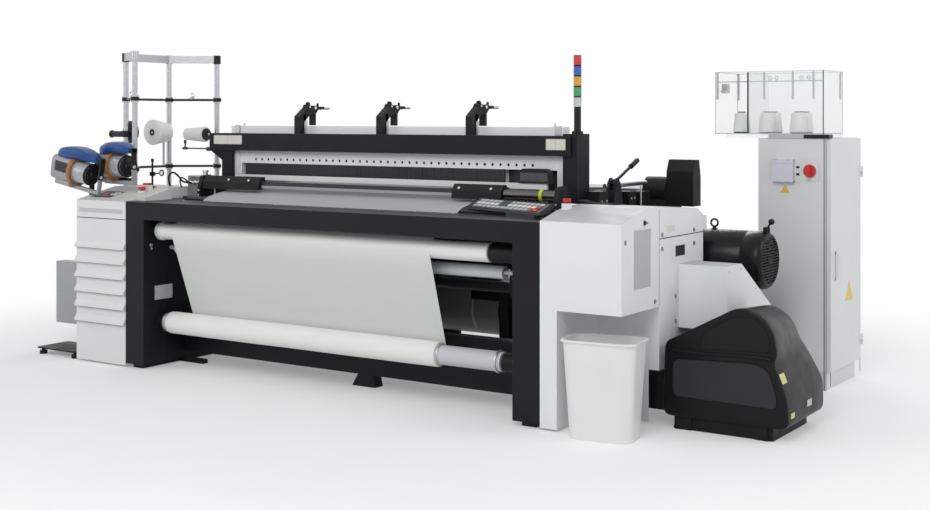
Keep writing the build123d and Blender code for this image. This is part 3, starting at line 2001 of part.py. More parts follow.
with BuildPart() as yarn_stand:
    for x, depth in stand_places:
        rod_z(x, depth, stand_post_radius, stand_foot, stand_height)
        rod_z(x, depth, 2.6 * stand_post_radius, 0, stand_foot)
        for height in stand_rail_heights:
            rod_z(x, depth, clamp_half, height - clamp_height / 2, height + clamp_height / 2)
        rod_z(x, depth, clamp_half, stand_height - stand_bar_height - 4.0, stand_height + 4.0)
    for start, end in zip(stand_places[:-1], stand_places[1:]):
        bar_between(start, end, stand_height, 2 * stand_post_radius, stand_bar_height)
        for height in stand_rail_heights:
            rail_between(start, end, height, stand_rail_radius)
    peg_root = package_depth + package_length / 2 + 15.0
    rod_z(stand_left, peg_root, peg_radius, stand_rail_heights[0], package_height + peg_radius)
    rod_x(peg_root, package_height, peg_radius, stand_left, package_x + peg_radius)
    rod_y(package_x, package_height, peg_radius, package_depth - package_length / 2 + 20.0, peg_root)
    rod_y(stand_right, side_package_height, peg_radius, side_package_depth - peg_radius, stand_right_back)
    rod_x(
        side_package_depth,
        side_package_height,
        peg_radius,
        side_package_right - side_package_length + 30.0,
        stand_right,
    )

# Feeder post: floor plate, post, cross bar and the control box on its left
feeder_post_radius = 16.0
feeder_bar_left = -2208.0
feeder_bar_right = -1560.0
feeder_bar_radius = 13.0
plate_left = -2200.0
plate_right = -1850.0
plate_front = 10.0
plate_depth = 240.0
plate_height = 42.0
plate_thick = 8.0
plate_foot_radius = 23.0
control_left = -2268.0
control_thick = 70.0
control_bottom = 165.0
control_top = 546.0
with BuildPart() as feeder_post:
    slab(
        plate_left,
        plate_right,
        plate_front,
        plate_front + plate_depth,
        plate_height - plate_thick,
        plate_height,
    )
    fillet(feeder_post.edges().filter_by(Axis.Z), 12.0)
    for x in (plate_left + plate_foot_radius + 12.0, plate_right - plate_foot_radius):
        for depth in (plate_front + plate_foot_radius, plate_front + plate_depth - plate_foot_radius):
            rod_z(x, depth, plate_foot_radius, 0, plate_height / 2)
            rod_z(x, depth, plate_foot_radius / 2, plate_height / 2, plate_height - plate_thick)
    rod_z(feeder_post_x, feeder_bar_depth, feeder_post_radius, plate_height - plate_thick, feeder_bar_height + 22.0)
    rod_x(feeder_bar_depth, feeder_bar_height, feeder_bar_radius, feeder_bar_left, feeder_bar_right)
    rod_x(
        feeder_bar_depth,
        feeder_bar_height,
        feeder_bar_radius + 12.0,
        feeder_post_x - 28.0,
        feeder_post_x + 28.0,
    )
    slab(
        control_left,
        feeder_post_x,
        feeder_bar_depth + feeder_post_radius - 2.0,
        feeder_bar_depth + feeder_post_radius + control_thick,
        control_bottom,
        control_top,
    )

# Weft feeders: each on its own axis, pointing at the weaving zone
feeder_body_length = 190.0
feeder_body_width = 130.0
feeder_body_height = 150.0
feeder_body_corner = 36.0
feeder_ring_radius = 88.0
feeder_arm_rise = 98.0
feeder_cover_start = 155.0
feeder_cover_rise = 84.0
feeder_arm_end = 190.0
foot_width = 44.0
foot_reach = 36.0
foot_side = 30.0
feeder_shaft_radius = 10.0
feeder_shaft_length = 16.0
feeder_places = (
    ((-1890.0, 84.0, 1125.0), (math.cos(math.radians(10)), 0.0, -math.sin(math.radians(10)))),
    ((-1665.0, 190.0, 1160.0), (math.cos(math.radians(14)), -math.sin(math.radians(14)), 0.0)),
)


def feeder_plane(place, along=0.0):
    """The cross plane of a feeder, this far along its axis from the drum's seat."""
    (x, depth, height), axis = place
    origin = Vector(x, back(depth), height) + Vector(*axis) * along
    across = Vector(*axis).cross(Vector(0, 0, 1)).normalized()
    return Plane(origin=origin, x_dir=across, z_dir=axis)


def feeder_extrude(place, along, length, draw, mode=Mode.ADD):
    """A section drawn across a feeder's axis, extruded along it."""
    with BuildSketch(feeder_plane(place, along)) as section:
        draw()
    extrude(section.sketch, amount=length, mode=mode)


def feeder_arm_section():
    with Locations((0, feeder_arm_rise)):
        RectangleRounded(30.0, 24.0, 6.0)


def feeder_cover_section():
    with Locations((0, feeder_cover_rise)):
        RectangleRounded(feeder_body_width - 24.0, 34.0, 14.0)


def feeder_eye_section():
    with Locations((0, feeder_arm_rise / 2 + 4.0)):
        RectangleRounded(26.0, feeder_arm_rise + 14.0, 6.0)


with BuildPart() as feeder_housings:
    for place in feeder_places:
        feeder_extrude(
            place,
            -feeder_body_length,
            feeder_body_length,
            lambda: RectangleRounded(feeder_body_width, feeder_body_height, feeder_body_corner),
        )
        feeder_extrude(place, -24.0, 18.0, lambda: Circle(feeder_ring_radius))
        feeder_extrude(place, -feeder_cover_start, feeder_cover_start + feeder_arm_end, feeder_arm_section)
        feeder_extrude(place, -feeder_cover_start, feeder_cover_start - 30.0, feeder_cover_section)
        feeder_extrude(place, feeder_arm_end - 12.0, 12.0, feeder_eye_section)
        feeder_extrude(
            place,
            -feeder_shaft_length - 4.0,
            feeder_shaft_length + 4.0,
            lambda: Circle(feeder_shaft_radius + running_clearance),
            Mode.SUBTRACT,
        )
        (x, depth, height), axis = place
        foot_x = x - axis[0] * feeder_body_length * 0.6
        foot_front = min(depth + foot_reach, feeder_bar_depth - foot_side)
        slab(
            foot_x - foot_width / 2,
            foot_x + foot_width / 2,
            foot_front,
            feeder_bar_depth + foot_side,
            feeder_bar_height,
            height,
        )
    rod_x(
        feeder_bar_depth,
        feeder_bar_height,
        feeder_bar_radius + running_clearance,
        feeder_bar_left,
        feeder_bar_right + 40.0,
        Mode.SUBTRACT,
    )

feeder_drums = []
for place in feeder_places:
    with BuildPart() as feeder_drum:
        feeder_extrude(place, -feeder_shaft_length, feeder_shaft_length + 2.0, lambda: Circle(feeder_shaft_radius))
        feeder_extrude(place, 2.0, feeder_drum_length, lambda: Circle(feeder_drum_radius))
        fillet(feeder_drum.edges().sort_by(SortBy.LENGTH)[-2:], 8.0)
    feeder_drums.append(feeder_drum)

# Signal tower on the right column
tower_base = girder_top + column_crown
with BuildPart() as signal_tower:
    rod_z(tower_x, tower_depth, tower_pole_radius + 8.0, tower_base, tower_base + 8.0)
    rod_z(tower_x, tower_depth, tower_pole_radius, tower_base + 8.0, tower_base + tower_pole_height)
    for n in range(tower_lens_count):
        lens_bottom = tower_base + tower_pole_height + n * (tower_lens_height + tower_lens_gap)
        rod_z(tower_x, tower_depth, tower_lens_radius, lens_bottom, lens_bottom + tower_lens_height)
        rod_z(
            tower_x,
            tower_depth,
            tower_lens_radius - 4.0,
            lens_bottom + tower_lens_height,
            lens_bottom + tower_lens_height + tower_lens_gap,
        )

# Operation panel: a thin wedge turned to the weaver on a foot, with a raised key field
key_rows = 3
key_columns = 14
panel_turn = math.radians(panel_turn_degrees)
panel_along = (math.cos(panel_turn), -math.sin(panel_turn), 0)
panel_across = (math.sin(panel_turn), math.cos(panel_turn), 0)
panel_corner = (panel_left, back(panel_front), 0)
panel_slope = math.atan2(panel_rise, panel_width)
with BuildPart() as operation_panel:
    with BuildSketch(Plane(origin=panel_corner, x_dir=panel_across, z_dir=panel_along)) as wedge:
        with BuildLine():
            Polyline(
                (0, panel_height),
                (panel_width, panel_height + panel_rise),
                (panel_width, panel_height + panel_rise - panel_back_thick),
                (panel_width / 3, panel_height - panel_lip),
                (0, panel_height - panel_lip),
                close=True,
            )
        make_face()
    extrude(wedge.sketch, amount=panel_length)
    foot_corner = Vector(*panel_corner) + Vector(*panel_along) * panel_foot_start
    with BuildSketch(Plane(origin=foot_corner, x_dir=panel_across, z_dir=panel_along)) as foot_section:
        with BuildLine():
            Polyline(
                (panel_foot_front, frame_top),
                (panel_foot_front, panel_height - panel_lip / 2),
                (panel_foot_back, panel_height + panel_lip),
                (panel_foot_back, frame_top),
                close=True,
            )
        make_face()
    extrude(foot_section.sketch, amount=panel_foot_length)
    key_middle = (
        Vector(*panel_corner)
        + Vector(*panel_along) * (panel_length / 2)
        + Vector(*panel_across) * (panel_width / 2)
        + Vector(0, 0, panel_height + panel_rise / 2)
    )
    key_normal = Vector(0, 0, math.cos(panel_slope)) - Vector(*panel_across) * math.sin(panel_slope)
    with BuildSketch(Plane(origin=key_middle, x_dir=panel_along, z_dir=key_normal)) as keys:
        with GridLocations(key_pitch, key_row_pitch, key_columns, key_rows):
            RectangleRounded(key_width, key_depth, key_corner)
    extrude(keys.sketch, amount=2.0)

# Valve box on the left side frame, with two pipe nipples
with BuildPart() as valve_box:
    slab(valve_left, valve_right, valve_front, valve_back, frame_top, frame_top + valve_height)
    fillet(valve_box.edges().group_by(Axis.Z)[-1], 6.0)
    for n in range(3):
        rod_y(
            valve_left + 26.0 + n * 38.0,
            frame_top + 92.0,
            11.0,
            valve_front - 18.0,
            valve_front,
        )

# Hand lever: a bent arm between the cheeks of its stand
with BuildPart() as hand_lever:
    rod_x(
        hand_lever_depth,
        hand_lever_height,
        lever_pivot_radius,
        hand_lever_x - lever_cheek_half,
        hand_lever_x + lever_cheek_half,
    )
    rod_x(hand_lever_depth, hand_lever_height, 20.0, hand_lever_x - 9.0, hand_lever_x + 9.0)
    lever_plane = Plane(
        origin=(hand_lever_x, back(hand_lever_depth), hand_lever_height),
        x_dir=(1, 0, 0),
        z_dir=(0, math.cos(lever_lean), math.sin(lever_lean)),
    )
    with BuildSketch(lever_plane) as lever_arm:
        Circle(8.0)
    extrude(lever_arm.sketch, amount=hand_lever_length)
    with BuildSketch(lever_plane.offset(hand_lever_length)) as lever_grip:
        Circle(14.0)
    extrude(lever_grip.sketch, amount=90.0)
    fillet(hand_lever.faces().filter_by(GeomType.PLANE).sort_by(Axis.Y)[-1].edges(), 6.0)

pieces = {
    "front_frame": front_frame,
    "side_frame_left": side_frame_left,
    "side_frame_right": side_frame_right,
    "cross_beams": cross_beams,
    "columns": columns,
    "girder": girder,
    "overhead_housing": overhead_housing,
    "top_brackets": top_brackets,
    "heald_guides": heald_guides,
    "sley": sley,
    "reed": reed,
    "weft_feeler": weft_feeler,
    "breast_plate": breast_plate,
    "temple_bars": temple_bars,
    "temple_castings": temple_castings,
    "roll_bearings": roll_bearings,
    "take_up_roll": take_up_roll,
    "press_roller": press_roller,
    "cloth_roll_core": cloth_roll_core,
    "cloth_roll": cloth_roll,
    "cloth_web": cloth_web,
    "warp_beam": warp_beam,
    "back_rest_housings": back_rest_housings,
    "back_rest_roller": back_rest_roller,
    "left_cover": left_cover,
    "push_button": push_button,
    "right_front_cover": right_front_cover,
    "right_side_cover": right_side_cover,
    "cover_screws": cover_screws,
    "cover_lock": cover_lock,
    "emergency_stop": emergency_stop,
    "belt_cover": belt_cover,
    "gear_case": gear_case,
    "motor_housing": motor_housing,
    "motor_fan": motor_fan,
    "brake_lever": brake_lever,
    "shedding_box": shedding_box,
    "waste_bin": waste_bin,
    "cabinet_body": cabinet_body,
    "cabinet_door": cabinet_door,
    "main_switch": main_switch,
    "cone_box": cone_box,
    "cone_box_door": cone_box_door,
    "yarn_cones": yarn_cones,
    "yarn_stand": yarn_stand,
    "feeder_post": feeder_post,
    "feeder_housings": feeder_housings,
    "signal_tower": signal_tower,
    "operation_panel": operation_panel,
    "valve_box": valve_box,
    "hand_lever": hand_lever,
}
for family, members in (
    ("clamp_lever", clamp_levers),
    ("heald_frame", heald_frames),
    ("feeder_drum", feeder_drums),
):
    for number, member in enumerate(members, start=1):
        pieces[f"{family}_{number}"] = member

os.makedirs("parts", exist_ok=True)
for name, piece in pieces.items():
    piece.part.label = name
    export_step(piece.part, f"parts/{name}.step")
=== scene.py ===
import math
import random

import bmesh
import bpy
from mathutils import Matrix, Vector


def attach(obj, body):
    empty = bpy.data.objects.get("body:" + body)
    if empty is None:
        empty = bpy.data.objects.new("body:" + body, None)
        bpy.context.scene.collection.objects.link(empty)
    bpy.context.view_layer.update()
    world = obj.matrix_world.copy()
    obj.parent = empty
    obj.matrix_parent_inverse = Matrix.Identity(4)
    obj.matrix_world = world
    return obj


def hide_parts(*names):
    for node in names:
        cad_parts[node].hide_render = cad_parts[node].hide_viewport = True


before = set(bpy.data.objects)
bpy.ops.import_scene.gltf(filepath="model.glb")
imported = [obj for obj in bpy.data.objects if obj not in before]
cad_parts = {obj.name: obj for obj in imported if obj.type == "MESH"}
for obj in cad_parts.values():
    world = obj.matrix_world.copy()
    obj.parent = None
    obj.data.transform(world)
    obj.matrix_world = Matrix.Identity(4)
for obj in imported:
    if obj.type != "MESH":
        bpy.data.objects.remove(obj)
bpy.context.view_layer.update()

# The photograph's frame and the camera solved from the loom's long edges
IMAGE_WIDTH = 930
FOCAL_PIXELS = 1325.5
SENSOR_WIDTH = 36
HORIZON_ABOVE_CENTRE = 137
CAMERA_PLACE = (4.531, -6.1496, 1.45)
CAMERA_TURN = math.radians(33.73)

# The floor turns to white between these distances from the middle, metres
FLOOR_FADE_START = 2.2
FLOOR_FADE_END = 4.6
FLOOR_LIFT = 0.25
FLOOR_HALF = 40
FLOOR_DROP = 0.0005

# The front face of the machine in the frame's own metres
FRONT_Y = -0.83


def place(x, depth, height):
    """A point given in millimetres: x, depth behind the front face, height."""
    return Vector((x / 1000, FRONT_Y + depth / 1000, height / 1000))


# Materials


class Tree:
    """A material's or a world's nodes, with short calls that add and wire them."""

    def __init__(self, tree):
        self.nodes, self.links = tree.nodes, tree.links

    def add(self, kind, wires=(), values=(), **settings):
        """A node with its settings, its fixed inputs and the outputs wired into it."""
        node = self.nodes.new("ShaderNode" + kind)
        for key, value in settings.items():
            setattr(node, key, value)
        for key, value in dict(values).items():
            node.inputs[key].default_value = value
        for key, output in dict(wires).items():
            self.links.new(output, node.inputs[key])
        return node

    def coordinates(self, kind="Object"):
        return self.add("TexCoord").outputs[kind]

    def noise(self, scale, detail=4, roughness=0.55, stretch=(1, 1, 1)):
        """A noise texture in object space, stretched along the axes."""
        mapping = self.add("Mapping", {"Vector": self.coordinates()}, {"Scale": stretch})
        values = {"Scale": scale, "Detail": detail, "Roughness": roughness}
        return self.add("TexNoise", {"Vector": mapping.outputs["Vector"]}, values).outputs["Fac"]

    def shade(self, factor, low, high, span=(0.35, 0.65)):
        """Two colours mixed by a texture."""
        ramp = self.add("ValToRGB")
        for stop, position, colour in zip(ramp.color_ramp.elements, span, (low, high)):
            stop.position = position
            stop.color = (*colour, 1)
        self.links.new(factor, ramp.inputs["Fac"])
        return ramp.outputs["Color"]

    def spread(self, factor, low, high, start=0.3, end=0.7, **settings):
        """A number that a texture moves between two values."""
        values = {"From Min": start, "From Max": end, "To Min": low, "To Max": high}
        return self.add("MapRange", {"Value": factor}, values, **settings).outputs["Result"]

    def cover(self, factor, under, over):
        """A tone covered by a plain colour as far as the factor says."""
        wires = {"Factor": factor, "A": under}
        return self.add("Mix", wires, {"B": (*over, 1)}, data_type="RGBA").outputs["Result"]

    def math(self, operation, first, second):
        return self.add("Math", {0: first, 1: second}, operation=operation).outputs["Value"]

    def height_of(self, vector):
        return self.add("SeparateXYZ", {"Vector": vector}).outputs["Z"]

    def seen(self):
        """One where the camera sees a point, straight, through clear sheet or mirrored."""
        ray = self.add("LightPath").outputs
        seen = self.math("MAXIMUM", ray["Is Camera Ray"], ray["Is Transmission Ray"])
        return self.math("MAXIMUM", seen, ray["Is Glossy Ray"])

    def rubbed(self):
        """How far a point is a rubbed edge: where a rounded normal leaves the true one, broken up."""
        bevel = self.add("Bevel", values={"Radius": 0.004}, samples=3)
        true = self.add("NewGeometry")
        wires = {0: bevel.outputs["Normal"], 1: true.outputs["Normal"]}
        dot = self.add("VectorMath", wires, operation="DOT_PRODUCT")
        edge = self.spread(dot.outputs["Value"], 0, 0.55, 0.97, 0.80)
        return self.math("MULTIPLY", edge, self.spread(self.noise(22, 6), 0.15, 1))


class Finish(Tree):
    """A material in the making: its nodes and its principled shader."""

    def __init__(self, name):
        self.material = bpy.data.materials.new(name)
        self.material.use_nodes = True
        super().__init__(self.material.node_tree)
        self.shader = self.nodes["Principled BSDF"]

    def wire(self, **outputs):
        for key, output in outputs.items():
            self.links.new(output, self.shader.inputs[key.replace("_", " ")])

    def set(self, **values):
        for key, value in values.items():
            self.shader.inputs[key.replace("_", " ")].default_value = value

    def bump(self, height, strength, distance):
        bump = self.add("Bump", {"Height": height}, {"Strength": strength, "Distance": distance})
        self.links.new(bump.outputs["Normal"], self.shader.inputs["Normal"])


def darker(colour, share):
    return tuple(channel * share for channel in colour)


def coated(name, colour, roughness=0.45, variation=0.9, peel_scale=900, peel=0.05, coat=0,
           worn=None, top=None, gloss_level=0.5):
    """Paint, powder coat or moulded plastic: faint clouds, a fine peel, and paint rubbed thin at edges.

    Top is a tone given to faces that look up; on the white covers and the left cover it is painted shade, a
    grey in place of how light falls on their tops.
    """
    finish = Finish(name)
    tone = finish.shade(finish.noise(3.5), darker(colour, variation), colour)
    if top:
        # Faces that look up take the top tone, which is painted shade on the covers' tops
        upward = finish.spread(finish.height_of(finish.coordinates("Normal")), 0, 1, 0.80, 0.93)
        tone = finish.cover(upward, tone, top)
    if worn:
        tone = finish.cover(finish.rubbed(), tone, worn)
    gloss = finish.spread(finish.noise(14), roughness * 0.85, roughness * 1.15)
    finish.wire(Base_Color=tone, Roughness=gloss)
    finish.bump(finish.noise(peel_scale, 2), peel, 0.0004)
    finish.set(Specular_IOR_Level=gloss_level, Coat_Weight=coat)
    return finish.material


def brushed(name, colour, roughness=0.32, along=(1, 60, 60), strength=0.06):
    """Ground or drawn metal with fine lines along one axis."""
    finish = Finish(name)
    lines = finish.noise(12, 5, stretch=along)
    gloss = finish.spread(lines, roughness * 0.8, roughness * 1.25)
    finish.wire(Base_Color=finish.shade(lines, darker(colour, 0.82), colour), Roughness=gloss)
    finish.bump(lines, strength, 0.0003)
    finish.set(Metallic=1)
    return finish.material


def woven(name, colour, pitch=0.0011, sheen=0.25, painted_shade_zones=None):
    """Plain weave: two crossed waves with faint slubs. Painted shade zones darken it by height in metres.
    """
    finish = Finish(name)
    coordinates = finish.coordinates()
    values = {"Scale": 1 / (pitch * 20) * 6.2832, "Distortion": 0.6, "Detail": 1}
    waves = [
        finish.add("TexWave", {"Vector": coordinates}, values, bands_direction=direction).outputs["Fac"]
        for direction in ("X", "Z")
    ]
    tone = finish.shade(finish.noise(30, 3, stretch=(0.2, 4, 4)), darker(colour, 0.98), colour)
    # Painted shade: the cloth is darkened by height to stand in for the shade that falls on it
    if painted_shade_zones:
        ramp = finish.add("ValToRGB")
        stops = ramp.color_ramp.elements
        for height, shade in painted_shade_zones:
            stops.new(height).color = (*shade, 1)
        for _ in range(2):
            stops.remove([stop for stop in stops if stop.position in (0, 1)][0])
        finish.links.new(finish.height_of(coordinates), ramp.inputs["Fac"])
        tint = {"A": tone, "B": ramp.outputs["Color"]}
        mix = finish.add("Mix", tint, {"Factor": 1}, data_type="RGBA", blend_type="MULTIPLY")
        tone = mix.outputs["Result"]
    finish.wire(Base_Color=tone)
    finish.set(Roughness=0.85, Sheen_Weight=sheen)
    finish.bump(finish.math("MULTIPLY", *waves), 0.06, 0.0003)
    return finish.material


def clear(name, tint=(0.93, 0.96, 0.96), opacity=0.16):
    """Thin clear sheet that lets the lamps through."""
    finish = Finish(name)
    finish.set(Base_Color=(*tint, 1), Alpha=opacity)
    finish.wire(Roughness=finish.spread(finish.noise(6), 0.04, 0.12))
    return finish.material


def lens(name, colour):
    """A ribbed translucent lens."""
    finish = Finish(name)
    vector = {"Vector": finish.coordinates()}
    ribs = finish.add("TexWave", vector, {"Scale": 60}, bands_direction="Z").outputs["Fac"]
    finish.wire(Base_Color=finish.shade(ribs, darker(colour, 0.8), colour, (0.2, 0.8)))
    finish.set(Roughness=0.25, Transmission_Weight=0.15)
    finish.bump(ribs, 0.3, 0.001)
    return finish.material


# Faces that look up are a lighter black
FRAME_BLACK = coated(
    "frame_black", (0.0135, 0.0135, 0.0165), variation=0.8, worn=(0.09, 0.09, 0.10),
    top=(0.05, 0.05, 0.052), gloss_level=0.16
)
DARK_CHROME = brushed("dark_chrome", (0.14, 0.13, 0.125), roughness=0.24, along=(2, 30, 30))
CORE_PALE = coated(
    "core_pale", (0.60, 0.60, 0.63), roughness=0.5, variation=0.95, peel=0.02, gloss_level=0.4
)
GRAPHITE = coated(
    "graphite", (0.045, 0.046, 0.050), roughness=0.38, worn=(0.16, 0.16, 0.17), gloss_level=0.25
)
CAST_BLACK = coated(
    "cast_black",
    (0.0085, 0.0085, 0.0095),
    roughness=0.5,
    variation=0.75,
    peel_scale=350,
    peel=0.25,
    worn=(0.07, 0.07, 0.075),
    gloss_level=0.2,
)
SHED_BLACK = coated(
    "shedding_black", (0.0055, 0.0055, 0.0065), roughness=0.36, variation=0.85, gloss_level=0.2
)
SHED_PANEL = coated(
    "shedding_panel", (0.032, 0.031, 0.036), roughness=0.42, variation=0.85, gloss_level=0.2
)
SHED_WINDOW = coated(
    "shedding_window", (0.003, 0.0065, 0.0055), roughness=0.18, peel=0, gloss_level=0.22
)
MOTOR_BLACK = coated(
    "motor_black", (0.006, 0.0045, 0.006), roughness=0.26, variation=0.85, gloss_level=0.2
)
# Painted shade: the tops of the right-hand covers are grey, in place of how light falls on them
COVER_WHITE = coated(
    "cover_white", (0.80, 0.81, 0.82), variation=0.97, top=(0.42, 0.42, 0.44), gloss_level=0.35
)
# Painted shade: the left cover's top is a paler grey, in place of how light falls on it
PANEL_WHITE = coated(
    "louvre_white", (0.74, 0.745, 0.74), variation=0.97, top=(0.60, 0.60, 0.58), gloss_level=0.35
)
STAVE_WHITE = coated(
    "stave_white", (0.88, 0.88, 0.885), roughness=0.4, variation=0.97, gloss_level=0.35
)
CABINET_GREY = coated(
    "cabinet_grey", (0.74, 0.75, 0.755), roughness=0.5, variation=0.96, peel=0.15, gloss_level=0.3
)
WINDOW_GREY = coated("window_grey", (0.46, 0.48, 0.49), roughness=0.35, variation=0.95)
LABEL_GREY = coated("bare_label_grey", (0.52, 0.53, 0.54), roughness=0.3, variation=0.97, peel=0.01)
CREAM = coated("bare_label_cream", (0.72, 0.71, 0.64), roughness=0.32, variation=0.97, peel=0.01)
CONTROL_GREY = coated("control_grey", (0.36, 0.37, 0.38), roughness=0.42, variation=0.94)
STEEL = brushed("ground_steel", (0.60, 0.61, 0.62))
HEDDLE_STEEL = coated(
    "heddle_steel", (0.125, 0.118, 0.122), roughness=0.5, variation=0.75, gloss_level=0.25
)
HEDDLE_DARK = coated(
    "heddle_shade", (0.045, 0.042, 0.046), roughness=0.7, variation=0.8, gloss_level=0.1
)
CHROME = brushed("chromed", (0.72, 0.73, 0.75), roughness=0.16, strength=0.02)
ALLOY = brushed("alloy", (0.50, 0.51, 0.53), roughness=0.34, along=(2, 2, 40))
BLACK_PLASTIC = coated(
    "black_plastic", (0.011, 0.011, 0.012), roughness=0.38, variation=0.8, gloss_level=0.25
)
WHITE_PLASTIC = coated(
    "white_plastic", (0.80, 0.80, 0.79), roughness=0.4, variation=0.97, gloss_level=0.35
)
GREY_PLASTIC = coated(
    "grey_plastic", (0.36, 0.355, 0.37), roughness=0.4, variation=0.85, gloss_level=0.4
)
DRUM_GREY = coated("drum_grey", (0.42, 0.43, 0.44), roughness=0.22, variation=0.85, coat=0.4)
RED_PLASTIC = coated("red_plastic", (0.62, 0.03, 0.02), roughness=0.28, variation=0.85)
BLUE_PLASTIC = coated(
    "blue_plastic", (0.012, 0.070, 0.245), roughness=0.35, variation=0.8, gloss_level=0.3
)
ORANGE_PLASTIC = coated(
    "orange_plastic", (0.36, 0.155, 0.04), roughness=0.4, variation=0.8, gloss_level=0.3
)
YELLOW_GREEN = coated("yellow_green", (0.55, 0.68, 0.05), roughness=0.35, variation=0.92)
PALE_GREEN = coated("pale_green", (0.42, 0.58, 0.46), roughness=0.36, variation=0.92)
PALE_ORANGE = coated("pale_orange", (0.72, 0.52, 0.30), roughness=0.36, variation=0.95)
AMBER_PLATE = coated("amber_plate", (0.74, 0.50, 0.08), roughness=0.34, variation=0.95, peel=0.01)
PALE_YELLOW = coated("pale_yellow", (0.62, 0.60, 0.22), roughness=0.35, variation=0.95, peel=0.01)
CERAMIC = coated(
    "ceramic_eye", (0.78, 0.78, 0.74), roughness=0.12, variation=0.97, peel=0, coat=0.8
)
SCREEN = coated("screen", (0.10, 0.16, 0.17), roughness=0.12, variation=0.85, peel=0, coat=0.6)
CLOTH_WHITE = woven("cloth_white", (0.83, 0.84, 0.81))
# Painted shade on the web by height: a darker band from 0.40 to 0.70 m, and grey-lilac above 0.93 m where
# the top run lies in shade
WEB_PAINTED_SHADE = (
    (0.26, (0.90, 0.90, 0.89)), (0.40, (0.76, 0.78, 0.77)), (0.70, (0.78, 0.80, 0.79)),
    (0.80, (0.93, 0.93, 0.92)), (0.88, (0.90, 0.90, 0.90)), (0.93, (0.50, 0.49, 0.52)),
)
WEB_CLOTH = woven("cloth_web", (0.83, 0.84, 0.81), painted_shade_zones=WEB_PAINTED_SHADE)
RUBBER_GREY = coated(
    "rubber_grey", (0.66, 0.69, 0.70), roughness=0.6, variation=0.94, peel=0.1, gloss_level=0.2
)
SHROUD_GREY = coated(
    "shroud_grey", (0.26, 0.26, 0.27), roughness=0.35, variation=0.85, gloss_level=0.4
)
PALE_LILAC = coated("pale_lilac", (0.66, 0.66, 0.73), roughness=0.25, variation=0.98, peel=0)
YARN_WHITE = woven("yarn_white", (0.84, 0.84, 0.82), pitch=0.002, sheen=0.4)
ACRYLIC = clear("acrylic")
ACRYLIC_EDGE = clear("acrylic_edge", tint=(0.62, 0.65, 0.66), opacity=0.5)
ACRYLIC_POST = clear("acrylic_post", tint=(0.42, 0.43, 0.44), opacity=0.55)
PANEL_DARK = coated("panel_dark", (0.05, 0.055, 0.06), roughness=0.3, worn=(0.15, 0.15, 0.15))
LENS_CLEAR = lens("lens_clear", (0.72, 0.74, 0.72))
LENS_GREEN = lens("lens_green", (0.06, 0.42, 0.16))
LENS_AMBER = lens("lens_amber", (0.85, 0.42, 0.04))
LENS_BLUE = lens("lens_blue", (0.04, 0.12, 0.55))
LENS_RED = lens("lens_red", (0.70, 0.03, 0.03))

# The CAD nodes that wear a material
NODES_OF = {
    FRAME_BLACK: "front_frame side_frame_left side_frame_right cross_beams columns girder",
    STAVE_WHITE: "overhead_housing heald_frame_1 heald_frame_2 heald_frame_3 heald_frame_4",
    CAST_BLACK: (
        "top_brackets clamp_lever_1 clamp_lever_2 clamp_lever_3 temple_castings roll_bearings "
        "back_rest_housings gear_case feeder_post"
    ),
    WHITE_PLASTIC: "heald_guides take_up_roll waste_bin",
    GRAPHITE: "sley breast_plate temple_bars warp_beam",
    STEEL: "reed cover_screws motor_fan valve_box",
    BLACK_PLASTIC: "weft_feeler cover_lock brake_lever feeder_drum_1 feeder_drum_2 hand_lever",
    RUBBER_GREY: "press_roller",
    CORE_PALE: "cloth_roll_core",
    CLOTH_WHITE: "cloth_roll cloth_web",
    CHROME: "back_rest_roller",
    PANEL_WHITE: "left_cover",
    RED_PLASTIC: "push_button emergency_stop main_switch",
    COVER_WHITE: "right_front_cover right_side_cover belt_cover",
    MOTOR_BLACK: "motor_housing",
    SHED_BLACK: "shedding_box",
    CABINET_GREY: "cabinet_body cabinet_door",
    ACRYLIC: "cone_box cone_box_door",
    YARN_WHITE: "yarn_cones",
    ALLOY: "yarn_stand",
    GREY_PLASTIC: "feeder_housings",
    LENS_CLEAR: "signal_tower",
    PANEL_DARK: "operation_panel",
}


def finish_nodes():
    """Each carried-over CAD node gets its material."""
    for material, names in NODES_OF.items():
        for name in names.split():
            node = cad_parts[name]
            node.data.materials.clear()
            node.data.materials.append(material)


# Floor, light and camera


def make_stage():
    """A pale floor that keeps the shadows near the machine and runs out to white."""
    finish = Finish("studio_floor")
    finish.wire(Base_Color=finish.shade(finish.noise(2), (0.90, 0.90, 0.90), (0.92, 0.92, 0.92)))
    finish.set(Roughness=0.9)
    distance = finish.add("VectorMath", {0: finish.coordinates()}, operation="LENGTH").outputs["Value"]
    fade = finish.spread(
        distance, FLOOR_LIFT, 1, FLOOR_FADE_START, FLOOR_FADE_END, interpolation_type="SMOOTHSTEP"
    )
    share = finish.math("MULTIPLY", fade, finish.seen())
    white = finish.add("Emission", values={"Color": (1, 1, 1, 1), "Strength": 1})
    wires = {"Fac": share, 1: finish.shader.outputs["BSDF"], 2: white.outputs["Emission"]}
    mix = finish.add("MixShader", wires)
    finish.links.new(mix.outputs["Shader"], finish.nodes["Material Output"].inputs["Surface"])
    mesh = bpy.data.meshes.new("studio_floor")
    corners = [(x * FLOOR_HALF, y * FLOOR_HALF, 0) for x, y in ((-1, -1), (1, -1), (1, 1), (-1, 1))]
    mesh.from_pydata(corners, [], [(0, 1, 2, 3)])
    floor = bpy.data.objects.new("studio_floor", mesh)
    floor.data.materials.append(finish.material)
    floor.location.z = -FLOOR_DROP
    bpy.context.scene.collection.objects.link(floor)


